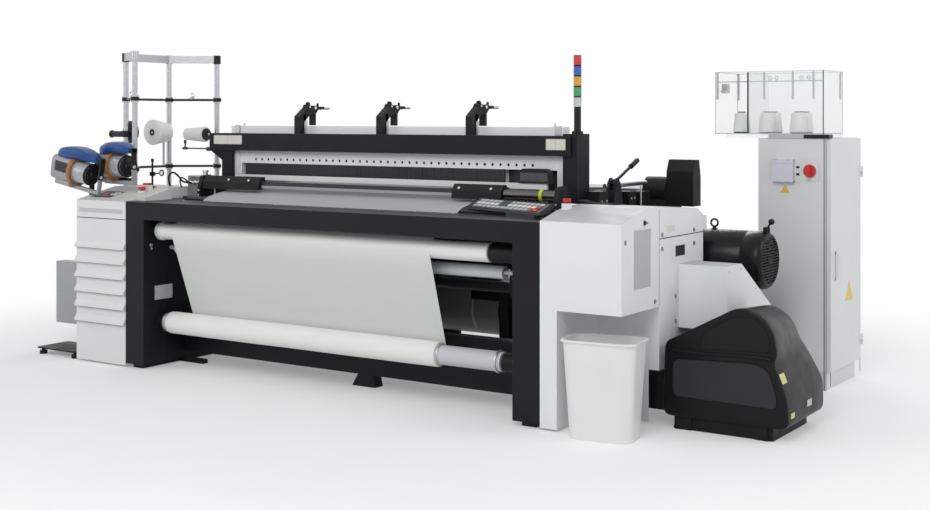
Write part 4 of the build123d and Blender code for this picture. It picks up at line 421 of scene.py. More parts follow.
def make_world():
    """Soft sky light on the machine, and plain white where the camera looks past it."""
    world = bpy.data.worlds.new("studio")
    bpy.context.scene.world = world
    world.use_nodes = True
    tree = Tree(world.node_tree)
    sky = tree.nodes["Background"]
    sky.inputs["Color"].default_value = (0.95, 0.97, 1, 1)
    sky.inputs["Strength"].default_value = 0.5
    white = tree.add("Background", values={"Color": (1, 1, 1, 1), "Strength": 1})
    wires = {"Fac": tree.seen(), 1: sky.outputs["Background"], 2: white.outputs["Background"]}
    mix = tree.add("MixShader", wires)
    tree.links.new(mix.outputs["Shader"], tree.nodes["World Output"].inputs["Surface"])


def area_lamp(name, location, target, size, power):
    data = bpy.data.lights.new(name, "AREA")
    data.shape = "DISK"
    data.size = size
    data.energy = power
    lamp = bpy.data.objects.new(name, data)
    lamp.location = location
    aim = Vector(target) - Vector(location)
    lamp.rotation_euler = aim.to_track_quat("-Z", "Y").to_euler()
    bpy.context.scene.collection.objects.link(lamp)


def make_lights():
    area_lamp("key", (3, -6.5, 5.5), (0, 0, 0.7), 4, 210)
    area_lamp("fill", (-5.5, -5.5, 4), (0, 0, 0.7), 4, 90)
    area_lamp("side", (7, 1, 4), (1.5, 0, 0.7), 3.5, 90)
    area_lamp("rear", (-2, 6.5, 5), (0, 0, 0.8), 4, 110)


def make_camera():
    data = bpy.data.cameras.new("photo_view")
    data.sensor_width = SENSOR_WIDTH
    data.lens = FOCAL_PIXELS / IMAGE_WIDTH * SENSOR_WIDTH
    data.shift_y = -HORIZON_ABOVE_CENTRE / IMAGE_WIDTH
    camera = bpy.data.objects.new("photo_view", data)
    camera.location = CAMERA_PLACE
    camera.rotation_euler = (math.radians(90), 0, CAMERA_TURN)
    bpy.context.scene.collection.objects.link(camera)
    bpy.context.scene.camera = camera


# Mesh pieces. Everything below is given in millimetres: x, depth behind the front face, height.


class Shape:
    """Closed forms gathered into one mesh."""

    def __init__(self):
        self.bm = bmesh.new()

    def _bevel(self, verts, width, segments=2):
        if width <= 0:
            return
        edges = {edge for vert in verts for edge in vert.link_edges}
        sharp = [
            e for e in edges if len(e.link_faces) == 2 and e.calc_face_angle(0) > math.radians(40)
        ]
        bmesh.ops.bevel(
            self.bm,
            geom=sharp,
            offset=width / 1000,
            segments=segments,
            affect="EDGES",
            profile=0.5,
            clamp_overlap=True,
        )

    def prism(self, corners, offset, bevel=0, segments=2):
        """A flat outline of points, given depth by an offset vector in metres."""
        low = [self.bm.verts.new(corner) for corner in corners]
        high = [self.bm.verts.new(corner + offset) for corner in corners]
        count = len(corners)
        self.bm.faces.new(list(reversed(low)))
        self.bm.faces.new(high)
        for i in range(count):
            j = (i + 1) % count
            self.bm.faces.new((low[i], low[j], high[j], high[i]))
        self._bevel(low + high, bevel, segments)
        return self

    def box(self, x0, x1, d0, d1, z0, z1, bevel=1, segments=2):
        corners = [place(x0, d0, z0), place(x1, d0, z0), place(x1, d1, z0), place(x0, d1, z0)]
        return self.prism(corners, Vector((0, 0, (z1 - z0) / 1000)), bevel, segments)

    def block(self, centre, axes, size, bevel=1, segments=2):
        """A turned box: its centre in metres, three unit axes, its size in mm."""
        half = [s / 2000 for s in size]
        a, b, c = axes
        corners = [
            centre + a * (sa * half[0]) + b * (sb * half[1]) - c * half[2]
            for sa, sb in ((-1, -1), (1, -1), (1, 1), (-1, 1))
        ]
        return self.prism(corners, c * (2 * half[2]), bevel, segments)

    def skin(self, rings, closed=False, inward=False):
        """Faces between rings of vertices, with capped ends or the last ring joined to the first."""
        for first, second in zip(rings, rings[1:] + rings[:1] if closed else rings[1:]):
            for i in range(len(first)):
                j = (i + 1) % len(first)
                face = (first[i], first[j], second[j], second[i])
                self.bm.faces.new((face[0], face[3], face[2], face[1]) if inward else face)
        if not closed:
            self.bm.faces.new(list(reversed(rings[0])))
            self.bm.faces.new(rings[-1])
        return self

    def turned(self, origin, axis, profile, steps=32):
        """A surface of revolution from (along, radius) pairs in mm, closed at both ends."""
        axis = axis.normalized()
        rays = spokes(axis, steps)
        rings = []
        for along, radius in profile:
            centre = origin + axis * (along / 1000)
            rings.append([self.bm.verts.new(centre + ray * (radius / 1000)) for ray in rays])
        return self.skin(rings)

    def rod(self, start, end, radius, edge=1, steps=24):
        """A round bar between two points in metres, with broken edges."""
        span = end - start
        length = span.length * 1000
        edge = min(edge, radius * 0.5, length * 0.25)
        profile = [
            (0, radius - edge), (edge, radius), (length - edge, radius), (length, radius - edge)
        ]
        return self.turned(start, span, profile, steps)

    def ring(self, origin, axis, outer, inner, width, edge=1, steps=48):
        """A flat ring with a square section, its edges broken."""
        axis = axis.normalized()
        near, far = inner + edge, outer - edge
        section = [(0, near), (0, far), (edge, outer), (width - edge, outer)]
        section += [(width, far), (width, near), (width - edge, inner), (edge, inner)]
        loops = [
            [self.bm.verts.new(origin + axis * (a / 1000) + ray * (r / 1000)) for a, r in section]
            for ray in spokes(axis, steps)
        ]
        return self.skin(loops, closed=True, inward=True)

    def pipe(self, points, radius, steps=12, smooth=6):
        """A tube along a smooth line through points in metres."""
        line = smooth_line(points, smooth)
        angles = [2 * math.pi * k / steps for k in range(steps)]
        rings = []
        normal = None
        for i, point in enumerate(line):
            ahead = line[min(i + 1, len(line) - 1)] - line[max(i - 1, 0)]
            tangent = ahead.normalized()
            if normal is None:
                normal = tangent.orthogonal().normalized()
            normal = (normal - tangent * normal.dot(tangent)).normalized()
            across = tangent.cross(normal)
            rays = [normal * math.cos(angle) + across * math.sin(angle) for angle in angles]
            rings.append([self.bm.verts.new(point + ray * (radius / 1000)) for ray in rays])
        return self.skin(rings)

    def shell(self, rows, thickness):
        """A thin sheet through a grid of points, with a back face and closed rims, in metres."""
        count = len(rows[0])
        front = [[self.bm.verts.new(p) for p in row] for row in rows]
        rear = []
        for r, row in enumerate(rows):
            line = []
            for c, p in enumerate(row):
                along = rows[min(r + 1, len(rows) - 1)][c] - rows[max(r - 1, 0)][c]
                across = row[min(c + 1, count - 1)] - row[max(c - 1, 0)]
                line.append(self.bm.verts.new(p - along.cross(across).normalized() * thickness))
            rear.append(line)
        for r in range(len(rows) - 1):
            for c in range(count - 1):
                self.bm.faces.new(
                    (front[r][c], front[r][c + 1], front[r + 1][c + 1], front[r + 1][c])
                )
                self.bm.faces.new((rear[r][c], rear[r + 1][c], rear[r + 1][c + 1], rear[r][c + 1]))
        rim = [(0, c) for c in range(count)]
        rim += [(r, count - 1) for r in range(1, len(rows))]
        rim += [(len(rows) - 1, c) for c in range(count - 2, -1, -1)]
        rim += [(r, 0) for r in range(len(rows) - 2, 0, -1)]
        for (ra, ca), (rb, cb) in zip(rim, rim[1:] + rim[:1]):
            self.bm.faces.new((front[ra][ca], rear[ra][ca], rear[rb][cb], front[rb][cb]))
        return self

    def piece(self, name, material, body="loom", angle=35, slotted=True):
        """The finished piece, riding on its body, in its material's slot."""
        bmesh.ops.recalc_face_normals(self.bm, faces=self.bm.faces)
        mesh = bpy.data.meshes.new(name)
        self.bm.to_mesh(mesh)
        self.bm.free()
        for polygon in mesh.polygons:
            polygon.use_smooth = True
        mesh.set_sharp_from_angle(angle=math.radians(angle))
        mesh.materials.append(material)
        thing = bpy.data.objects.new(name, mesh)
        bpy.context.scene.collection.objects.link(thing)
        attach(thing, body)
        return thing


def spokes(axis, count):
    """Unit vectors all round an axis."""
    side = axis.orthogonal().normalized()
    up = axis.cross(side)
    angles = [2 * math.pi * i / count for i in range(count)]
    return [side * math.cos(angle) + up * math.sin(angle) for angle in angles]


def smooth_line(points, steps):
    """A curve through points, Catmull and Rom's, for fixed pipes and bent rods."""
    line = []
    last = len(points) - 1
    for i in range(last):
        p0, p1, p2, p3 = points[max(i - 1, 0)], points[i], points[i + 1], points[min(i + 2, last)]
        for k in range(steps):
            t = k / steps
            line.append(
                0.5
                * (
                    2 * p1
                    + (p2 - p0) * t
                    + (2 * p0 - 5 * p1 + 4 * p2 - p3) * t * t
                    + (3 * p1 - p0 - 3 * p2 + p3) * t * t * t
                )
            )
    line.append(points[-1])
    return line


AXIS_X = Vector((1, 0, 0))
AXIS_Y = Vector((0, 1, 0))
AXIS_Z = Vector((0, 0, 1))
LOOM_AXES = (AXIS_X, AXIS_Y, AXIS_Z)


def screw_head(shape, x, depth, height, axis, radius=6, proud=3):
    """A socket screw: a broken-edged head with a hollow."""
    shape.turned(
        place(x, depth, height),
        axis,
        [
            (-0.5, radius), (proud - 1, radius), (proud, radius - 1), (proud, radius * 0.5),
            (proud - 1.6, radius * 0.45)
        ],
        16,
    )


# Cloth: the web, the wound roll and the yarn packages

CLOTH_LEFT = -1075
CLOTH_RIGHT = 730
WEB_RUNS = (
    ((556, 1030), (341.99, 985.49)), ((337.85, 983.96), (76.43, 839.73)),
    ((53.47, 782.29), (211.79, 281.53)),
)
WEB_TURNS = (((345, 971), 14.8), ((100, 797), 48.8))
WEB_TAPER = 24
WEB_TAPER_RIGHT = 4
ROLL_CENTRE = (150, 262)
TAKE_UP_CENTRE = (100, 797)
WOUND_RADIUS = 64
CORE_RADIUS = 50.4


def web_profile():
    """The web's (depth, height) line from the fell to the wound cloth."""
    line = []
    for n, (start, end) in enumerate(WEB_RUNS):
        steps = 24 if n == 2 else 10
        for i in range(steps + 1):
            t = i / steps
            line.append((start[0] + (end[0] - start[0]) * t, start[1] + (end[1] - start[1]) * t))
        if n < 2:
            (depth, height), radius = WEB_TURNS[n]
            after = WEB_RUNS[n + 1][0]
            first = math.atan2(end[1] - height, end[0] - depth)
            last = math.atan2(after[1] - height, after[0] - depth)
            if last < first - math.pi:
                last += 2 * math.pi
            if last > first + math.pi:
                last -= 2 * math.pi
            for i in range(1, 8):
                angle = first + (last - first) * i / 8
                line.append((depth + radius * math.cos(angle), height + radius * math.sin(angle)))
    return line


def make_cloth():
    line = web_profile()
    columns = 90
    rng = random.Random(7)
    waves = [(rng.uniform(2, 9), rng.uniform(0, 6.28), rng.uniform(0.1, 0.3)) for _ in range(6)]
    rows = []
    (_, drop_start), (_, drop_end) = WEB_RUNS[2]
    for i, (depth, height) in enumerate(line):
        fall = min(max((drop_start - height) / (drop_start - drop_end), 0), 1)
        slack = math.sin(fall * math.pi)
        left = CLOTH_LEFT + WEB_TAPER * fall
        right = CLOTH_RIGHT - WEB_TAPER_RIGHT * fall
        row = []
        for c in range(columns + 1):
            t = c / columns
            ripple = sum(
                size * math.sin(rate * t * 6.28 + phase + fall * 2) for rate, phase, size in waves
            )
            row.append(place(left + (right - left) * t, depth + ripple * slack * 1.6, height))
        rows.append(row)
    web = Shape().shell(rows, 0.0007).piece("woven_web", WEB_CLOTH, angle=60)
    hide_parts("cloth_web")


WOUND_LEFT = -1165


def make_wound_cloth():
    """The roll as layers of cloth: long faint creases round it, and ends that step a little."""
    rng = random.Random(11)
    left, right = WOUND_LEFT, CLOTH_RIGHT
    steps_round = 96
    stations = [left + 3 * i for i in range(6)]
    stations += [left + 15 + (right - left - 30) * i / 80 for i in range(1, 80)]
    stations += [right - 15 + 3 * i for i in range(6)]
    bumps = [
        (rng.uniform(0.002, 0.02), rng.uniform(0, 6.28), rng.randint(1, 5), rng.uniform(0.05, 0.22))
        for _ in range(9)
    ]
    shape = Shape()
    rings = []

    def ring_at(x, radius, ripple=1):
        ring = []
        for k in range(steps_round):
            angle = 2 * math.pi * k / steps_round
            grow = sum(
                s * math.sin(rate * x + phase + turns * angle) for rate, phase, turns, s in bumps
            )
            r = radius + grow * ripple - 0.9
            ring.append(
                shape.bm.verts.new(
                    place(
                        x, ROLL_CENTRE[0] + r * math.cos(angle),
                        ROLL_CENTRE[1] + r * math.sin(angle)
                    )
                )
            )
        rings.append(ring)

    for n in range(5):
        ring_at(left + 2.2 * (n % 2) + 0.6, CORE_RADIUS + n * 3.1, 0.2)
    for x in stations:
        ends = min(abs(x - left), abs(x - right))
        ring_at(x, WOUND_RADIUS - 2.4 * math.exp(-ends / 5))
    for n in range(4, -1, -1):
        ring_at(right - 2.2 * (n % 2) - 0.6, CORE_RADIUS + n * 3.1, 0.2)
    shape.skin(rings, closed=True)
    roll = shape.piece("wound_cloth", CLOTH_WHITE, body="cloth_roll", angle=50)
    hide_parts("cloth_roll")


BOX_CONES = ((1709, 1688), (1876, 1640), (1876, 1740), (2052, 1640), (2052, 1740))
CONE_FLOOR = 1366


def wound_profile(base, top, height, start=0):
    """A cross-wound package: fine ridges along it and rounded shoulders."""
    profile = [(start, base - 7), (start + 1.2, base - 2.5), (start + 4.5, base - 0.4)]
    count = 40
    for i in range(1, count):
        t = i / count
        ridge = 0.35 if i % 2 else -0.15
        profile.append((start + 4.5 + (height - 10) * t, base + (top - base) * t - 0.4 + ridge))
    profile += [
        (start + height - 5, top - 0.6), (start + height - 1.6, top - 3), (start + height, top - 8)
    ]
    return profile


def make_packages():
    yarn = Shape()
    cores = Shape()
    for x, depth in BOX_CONES:
        yarn.turned(place(x, depth, CONE_FLOOR), AXIS_Z, wound_profile(48, 38, 108, 6), 48)
        cores.turned(
            place(x, depth, CONE_FLOOR), AXIS_Z, [(0, 40), (1, 43), (5.5, 43), (6.5, 40)], 40
        )
        cores.turned(
            place(x, depth, CONE_FLOOR),
            AXIS_Z,
            [(112, 20), (115, 21.5), (119.5, 21), (120, 17), (116, 16), (114, 14)],
            32,
        )
    end_x, end_depth, end_height = -2071, 900, 1355
    yarn.turned(place(end_x, end_depth + 68, end_height), -AXIS_Y, wound_profile(62, 85, 134), 56)
    cores.ring(place(end_x, end_depth - 69.5, end_height), AXIS_Y, 22, 8.4, 12, 1.5)
    cores.ring(place(end_x, end_depth + 60, end_height), AXIS_Y, 26, 8.4, 9, 1.5)
    side_x, side_depth, side_height = -2078, 1150, 1340
    yarn.turned(
        place(side_x + 6, side_depth, side_height), AXIS_X, wound_profile(39.5, 52.5, 180), 56
    )
    cores.ring(place(side_x, side_depth, side_height), AXIS_X, 26, 8.4, 8, 1.5)
    cores.ring(place(side_x + 186, side_depth, side_height), AXIS_X, 40, 8.4, 12, 2)
    packages = yarn.piece("yarn_packages", YARN_WHITE, angle=60)
    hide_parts("yarn_cones")
    cores.piece("package_cores", BLACK_PLASTIC)


# Weaving zone: heald frames, reed, temple, breast beam and operation panel

HEALD_FRONT = 668
HOLE_COUNT = 40
HOLE_PITCH = 50.1
HOLE_CENTRE = -16
HEDDLE_LOW = 871
HEDDLE_HIGH = 1176.5
TEMPLE_AXIS = (480, 1057)
HEDDLES_LEFT = -1080
HEDDLES_RIGHT = 780


def make_healds():
    plugs = Shape()
    for n in range(HOLE_COUNT):
        x = HOLE_CENTRE + (n - (HOLE_COUNT - 1) / 2) * HOLE_PITCH
        plugs.rod(
            place(x, HEALD_FRONT + 1.2, 1201), place(x, HEALD_FRONT + 10.8, 1201), 7.9, 0.8, 20
        )
    plugs.piece("stave_plugs", BLACK_PLASTIC, body="heald_frame_1")
    rng = random.Random(3)
    for n, setback in ((0, 1.6), (1, 17.6), (3, 56.6)):
        wires = Shape()
        front = HEALD_FRONT + setback
        x = HEDDLES_LEFT + 2
        while x < HEDDLES_RIGHT - 2:
            lean = rng.uniform(-1.2, 1.2)
            corners = [
                place(x, front, HEDDLE_LOW),
                place(x + 1.3, front, HEDDLE_LOW),
                place(x + 1.3 + lean, front, HEDDLE_HIGH),
                place(x + lean, front, HEDDLE_HIGH),
            ]
            wires.prism(corners, Vector((0, 0.0012, 0)))
            x += rng.uniform(5.2, 7)
        wires.piece(f"heddle_wires_{n + 1}", HEDDLE_STEEL, body=f"heald_frame_{n + 1}")
    for n, setback in ((0, 3.4), (1, 19.4), (3, 55)):
        shade = Shape()
        front = HEALD_FRONT + setback
        shade.box(HEDDLES_LEFT, HEDDLES_RIGHT, front, front + 1.4, HEDDLE_LOW, HEDDLE_HIGH, 0.3)
        shade.piece(f"heddle_shade_{n + 1}", HEDDLE_DARK, body=f"heald_frame_{n + 1}")
    guard = Shape()
    rear = HEALD_FRONT + 52
    guard.box(782, 1104, rear, rear + 3, HEDDLE_LOW, HEDDLE_HIGH, 1)
    guard.box(-1104, -1086, rear, rear + 3, HEDDLE_LOW, HEDDLE_HIGH, 1)
    guard.piece("heald_side_plates", GRAPHITE, body="heald_frame_4")
    caps = Shape()
    for side in (-1, 1):
        outer = side * 1131
        inner = side * 1108
        caps.box(
            min(outer, inner), max(outer, inner), HEALD_FRONT - 0.3, HEALD_FRONT + 12.3, 905, 960, 1
        )
    caps.piece("heald_frame_corners", BLACK_PLASTIC, body="heald_frame_1")


REED_HALF = 1090


def make_reed():
    cap = Shape()
    cap.box(-1090.2, 1090.2, 592.6, 607.4, 1080, 1110.9, 3, 3)
    cap.piece("reed_top_band", WHITE_PLASTIC, body="sley")
    holder = Shape()
    holder.box(-REED_HALF, REED_HALF, 566.5, 571.5, 960, 984, 1)
    for n in range(15):
        x = -1050 + n * 150
        screw_head(holder, x, 566.5, 972, -AXIS_Y, 5, 2.5)
    holder.piece("reed_clamp_bar", STEEL, body="sley")
    feeler = Shape()
    feeler.box(935, 1100, 582.6, 584.6, 1122, 1166, 3, 3)
    feeler.box(1004, 1034, 580.8, 583, 1130, 1150, 1.5)
    feeler.piece("feeler_window", PANEL_DARK, body="sley")


def make_temples():
    shape = Shape()
    for x in (-1010, -850, 640, 840):
        screw_head(shape, x, 452, 1082, Vector((0, -0.85, 0.5)), 8, 5)
    shape.piece("temple_screws", STEEL)
    Shape().box(-762, 592, 465.4, 468.4, 1038.5, 1055, 0.8).piece("temple_grey_strip", CONTROL_GREY)
    sleeve = Shape()
    sleeve.rod(place(910, *TEMPLE_AXIS), place(1217, *TEMPLE_AXIS), 27.5, 2.5, 48)
    sleeve.piece("temple_sleeve", DARK_CHROME)
    band = Shape()
    band.ring(place(1122, *TEMPLE_AXIS), AXIS_X, 32, 27.4, 20, 2.5)
    band.ring(place(1127, *TEMPLE_AXIS), AXIS_X, 34, 27.4, 4, 1.2)
    band.piece("temple_yellow_ring", YELLOW_GREEN)
    bolts = Shape()
    for x in (-1237, 1237):
        screw_head(bolts, x, 429.6, 985, -AXIS_Y, 7, 4)
        screw_head(bolts, x, 429.6, 1015, -AXIS_Y, 7, 4)
    bolts.piece("casting_bolts", CHROME)


PANEL_TURN = math.radians(21.6)
PANEL_CORNER = (756, 340, 993)
PANEL_SIZE = (609, 93)
PANEL_RISE = 46
KEY_COLUMNS = 14
KEY_ROWS = 3


def make_panel():
    along = Vector((math.cos(PANEL_TURN), -math.sin(PANEL_TURN), 0))
    level = Vector((math.sin(PANEL_TURN), math.cos(PANEL_TURN), 0))
    slope = math.atan2(PANEL_RISE, PANEL_SIZE[1])
    across = level * math.cos(slope) + AXIS_Z * math.sin(slope)
    normal = along.cross(across)
    middle = (
        place(*PANEL_CORNER)
        + along * (PANEL_SIZE[0] / 2000)
        + level * (PANEL_SIZE[1] / 2000)
        + AXIS_Z * (PANEL_RISE / 2000)
    )
    axes = (along, across, normal)
    rim = Shape()
    run = PANEL_SIZE[1] / math.cos(slope)
    for side in (-1, 1):
        rim.block(
            middle + across * (side * (run / 2 - 5) / 1000) + normal * 0.0008, axes, (604, 4, 2.4),
            0.8
        )
        rim.block(middle + along * (side * 0.2995) + normal * 0.0008, axes, (4, run - 8, 2.4), 0.8)
    rim.piece("panel_rim", BLACK_PLASTIC)
    tints = {}
    for column in range(KEY_COLUMNS):
        for row in range(KEY_ROWS):
            if column in (5, 6) and row > 0:
                tint = "screen"
            elif column == 13 and row < 2 or column == 12 and row == 0:
                tint = "red"
            elif row % 2 == 0:
                tint = "silver"
            else:
                tint = "pale"
            tints.setdefault(tint, []).append((column, row))
    finishes = {
        "pale": WHITE_PLASTIC,
        "silver": LABEL_GREY,
        "red": RED_PLASTIC,
        "screen": SCREEN,
    }
    for tint, keys in tints.items():
        caps = Shape()
        for column, row in keys:
            u = (column - (KEY_COLUMNS - 1) / 2) * 38 / 1000
            w = (row - (KEY_ROWS - 1) / 2) * 26 / 1000
            caps.block(
                middle + along * u + across * w + normal * 0.0022, axes, (27.6, 17.6, 4), 1.4, 3
            )
        caps.piece(f"panel_keys_{tint}", finishes[tint], slotted=tint == "pale")


def make_breast_beam():
    shape = Shape()
    for n in range(9):
        x = -1180 + n * 240
        screw_head(shape, x, 250, 965, AXIS_Z, 6, 3)
    shape.piece("breast_plate_screws", STEEL)
    Shape().box(-1240, 1240, 161, 171, 964.5, 966.6, 0.6).piece("breast_plate_edge", GRAPHITE)


BEARING_BOLT_REACH = 35


def make_rolls():
    ring = Shape()
    ring.ring(place(-1205.6, *TAKE_UP_CENTRE), AXIS_X, 55.2, 20, 26, 2.5)
    ring.piece("take_up_end_ring", PALE_GREEN, body="take_up_roll")
    collars = Shape()
    for x, width in ((-1204, 14), (1079, 12)):
        collars.ring(place(x, *ROLL_CENTRE), AXIS_X, 56, 49.4, width, 1.5)
    collars.ring(place(735, *ROLL_CENTRE), AXIS_X, 53, 49.3, 9, 1.2)
    collars.piece("cloth_core_collars", STEEL, body="cloth_roll")
    bolts = Shape()
    for side, faces in ((-1, (-1212, -1212)), (1, (1074, 1117))):
        for face, (depth, height) in zip(faces, (TAKE_UP_CENTRE, ROLL_CENTRE)):
            for k in range(4):
                angle = math.radians(45 + 90 * k)
                across, rise = BEARING_BOLT_REACH * math.cos(angle), BEARING_BOLT_REACH * math.sin(angle)
                screw_head(bolts, face, depth + across, height + rise, -side * AXIS_X, 4, 2.5)
    bolts.piece("bearing_bolts", CHROME)


# Left side: cover, stand, feeders and small fittings

SLOPE_FOOT = 962
SLOPE_RISE = 68
SLOPE_RUN = 300


def make_left_cover():
    Shape().box(-1800, -1425, -0.9, 0.4, 890, 915, 0.4).piece("left_label_strip", LABEL_GREY)
    Shape().box(-1820, -1400, 0.2, 1.4, 855, 859, 0).piece("left_seam", BLACK_PLASTIC)
    slots = Shape()
    for n in range(6):
        lip = 681 - n * 88
        slots.box(-1806, -1412, -15, -1.2, lip - 3, lip + 1, 0.5)
    slots.piece("louvre_shadow_slots", BLACK_PLASTIC)
    slope = math.atan2(SLOPE_RISE, SLOPE_RUN)
    up = Vector((0, -math.sin(slope), math.cos(slope)))
    across = Vector((0, math.cos(slope), math.sin(slope)))

    def on_slope(x, depth, lift=0):
        return place(x, depth, SLOPE_FOOT + depth * SLOPE_RISE / SLOPE_RUN) + up * (lift / 1000)

    pocket = Shape()
    pocket.block(on_slope(-1681, 125, -1), (AXIS_X, across, up), (160, 128, 0.8), 0)
    pocket.piece("pocket_floor", GRAPHITE)
    rim = Shape()
    for side in (-1, 1):
        rim.block(on_slope(-1681, 125 + side * 64, 0.4), (AXIS_X, across, up), (168, 5, 2.2), 0.8)
        rim.block(on_slope(-1681 + side * 81.5, 125, 0.4), (AXIS_X, across, up), (5, 126, 2.2), 0.8)
    rim.piece("pocket_rim", ALLOY)
    keys = Shape()
    for column in range(3):
        for row in range(2):
            x = -1645 + column * 17
            keys.block(on_slope(x, 120 + row * 30, 2), (AXIS_X, across, up), (12, 14, 7), 1.6)
    keys.piece("pocket_keys", WHITE_PLASTIC)
    red = Shape()
    red.block(on_slope(-1660, 88, 2), (AXIS_X, across, up), (26, 10, 6), 1.6)
    red.piece("pocket_red_key", RED_PLASTIC)
    Shape().box(-1506, -1452, 226, 262, 1011, 1048, 4, 3).piece("push_switch_box", WHITE_PLASTIC)
    Shape().box(-1501, -1457, 229, 259, 1047.5, 1060, 3, 3).piece("push_switch_cap", RED_PLASTIC)


ROD_STAND = (-1495, 300)


def make_rod_stand():
    shape = Shape()
    for low, high, radius, edge in ((1029, 1036, 24, 2), (1034, 1190, 6, 1.5), (1184, 1204, 9, 2)):
        shape.rod(place(*ROD_STAND, low), place(*ROD_STAND, high), radius, edge)
    shape.block(place(*ROD_STAND, 1112), LOOM_AXES, (26, 22, 24), 3, 3)
    shape.rod(place(-1482, 300, 1112), place(-1432, 300, 1118), 4, 1)
    shape.ring(place(-1416, 296, 1120), AXIS_Y, 20, 14, 8, 1.5)
    shape.piece("guide_rod_stand", BLACK_PLASTIC)
    Shape().ring(place(-1416, 295, 1120), AXIS_Y, 14.2, 8, 10, 2).piece("guide_eye", CERAMIC)


VALVE_HEIGHT = 1057


def make_valve_box():
    Shape().box(-1388, -1266, 491, 493.6, 975, 1090, 2).piece("valve_face", ALLOY)
    shape = Shape()
    for n in range(3):
        x = -1366 + n * 38
        shape.rod(place(x, 478, VALVE_HEIGHT), place(x, 462, VALVE_HEIGHT), 7, 1.5)
        shape.ring(place(x, 478, VALVE_HEIGHT), AXIS_Y, 13.5, 11.2, 8, 1)
    for x, height in ((-1378, 985), (-1276, 985), (-1378, 1082), (-1276, 1082)):
        screw_head(shape, x, 491, height, -AXIS_Y, 4, 2.4)
    shape.rod(place(-1288, 540, 1099), place(-1288, 540, 1122), 15, 4)
    shape.rod(place(-1288, 540, 1120), place(-1288, 540, 1132), 20, 4)
    shape.piece("valve_fittings", CHROME)
    pipes = Shape()
    pipes.pipe(
        [place(*point) for point in (
            (-1366, 464, VALVE_HEIGHT), (-1382, 438, 1066), (-1402, 420, 1100), (-1440, 415, 1118),
            (-1484, 425, 1098), (-1500, 440, 1060), (-1500, 452, 1028),
        )],
        6,
    )
    pipes.pipe(
        [place(*point) for point in (
            (-1328, 464, VALVE_HEIGHT), (-1334, 440, 1062), (-1350, 426, 1080), (-1376, 424, 1088),
            (-1396, 432, 1068), (-1398, 444, 1030),
        )],
        4.5,
    )
    pipes.piece("bent_air_pipes", BLACK_PLASTIC)


def make_left_post():
    Shape().box(-1247.3, -1244.8, 87, 224, 393, 474, 1).piece("inner_frame_plate", LABEL_GREY)
    bolts = Shape()
    for depth, height in ((96, 402), (215, 402), (96, 465), (215, 465)):
        screw_head(bolts, -1244.8, depth, height, AXIS_X, 4, 2)
    screw_head(bolts, -1247.3, 53, 714, AXIS_X, 11, 8)
    screw_head(bolts, -1247.3, 60, 694, AXIS_X, 7, 6)
    bolts.piece("inner_frame_bolts", CHROME)


SIDE_ROD_DEPTH = 640
KNOB_AXIS = (752, 1516)


def make_girder_fittings():
    plates = Shape()
    plates.box(-1296, -1062, 618.6, 620.4, 1290, 1345, 0.6)
    plates.box(1069, 1186, 618.6, 620.4, 1284, 1342, 0.6)
    plates.piece("girder_bare_labels", CREAM)
    rims = Shape()
    for x0, x1, z0, z1 in ((-1296, -1062, 1290, 1345), (1069, 1186, 1284, 1342)):
        for z in (z0, z1 - 3):
            rims.box(x0, x1, 617.9, 618.9, z, z + 3, 0.3)
        for x in (x0, (x0 + x1) / 2 - 1.5, x1 - 3):
            rims.box(x, x + 3, 617.9, 618.9, z0, z1, 0.3)
    rims.piece("girder_label_rims", LABEL_GREY)
    ends = Shape()
    for x, half in ((-1202, 18), (1079, 20)):
        ends.box(x - half, x + half, 727, 735.6, 1358.2, 1407, 2, 3)
    ends.piece("overhead_end_blocks", ALLOY)
    rod = Shape()
    rod.rod(place(-1590, SIDE_ROD_DEPTH, 1260), place(-1334, SIDE_ROD_DEPTH, 1260), 4.5, 1)
    rod.rod(place(-1565, SIDE_ROD_DEPTH, 1256), place(-1565, SIDE_ROD_DEPTH, 1292), 5, 1)
    rod.rod(place(-1565, SIDE_ROD_DEPTH, 1290), place(-1565, SIDE_ROD_DEPTH, 1312), 9, 2.5)
    rod.rod(place(-1582, SIDE_ROD_DEPTH, 1260), place(-1548, SIDE_ROD_DEPTH, 1260), 9, 2)
    rod.rod(place(-1376, SIDE_ROD_DEPTH, 1258), place(-1330, SIDE_ROD_DEPTH, 1258), 13, 3)
    rod.piece("side_rod", GRAPHITE)
    pin = Shape()
    for x in (-1160, 1052):
        pin.rod(place(x, 745, 1400), place(x, 745, 1422), 5, 1, 16)
        pin.rod(place(x, 745, 1400), place(x, 745, 1406), 9, 1.5, 20)
    pin.piece("overhead_pins", STEEL)
    for n in range(3):
        x = -660 + n * 611
        plate = Shape()
        plate.box(x + 14, x + 20, 697, 722, 1357.5, 1472, 1.5)
        plate.piece(f"bracket_plate_{n + 1}", ALLOY)
        tag = Shape()
        tag.box(x + 14, x + 19, 723, 735.5, 1357.5, 1436, 1)
        tag.piece(f"bracket_side_{n + 1}", CREAM)
        knobs = Shape()
        knobs.rod(place(x - 22.5, *KNOB_AXIS), place(x + 22.5, *KNOB_AXIS), 15, 3)
        knobs.turned(
            place(x, 760, 1528), AXIS_Z, [(0, 12), (4, 14), (10, 14), (16, 9), (18, 4)], 24
        )
        knobs.piece(f"bracket_knobs_{n + 1}", CAST_BLACK)
        nuts = Shape()
        for side in (-1, 1):
            screw_head(nuts, x + side * 22.5, *KNOB_AXIS, side * AXIS_X, 7, 3)
            screw_head(nuts, x + side * 20, 805, 1511, side * AXIS_X, 10, 4)
        nuts.piece(f"bracket_nuts_{n + 1}", CHROME)
        sleeve = Shape()
        sleeve.rod(place(x, 902, 1511), place(x, 956.5, 1511), 9.6, 2, 24)
        sleeve.piece(f"lever_sleeve_{n + 1}", STEEL, body=f"clamp_lever_{n + 1}")


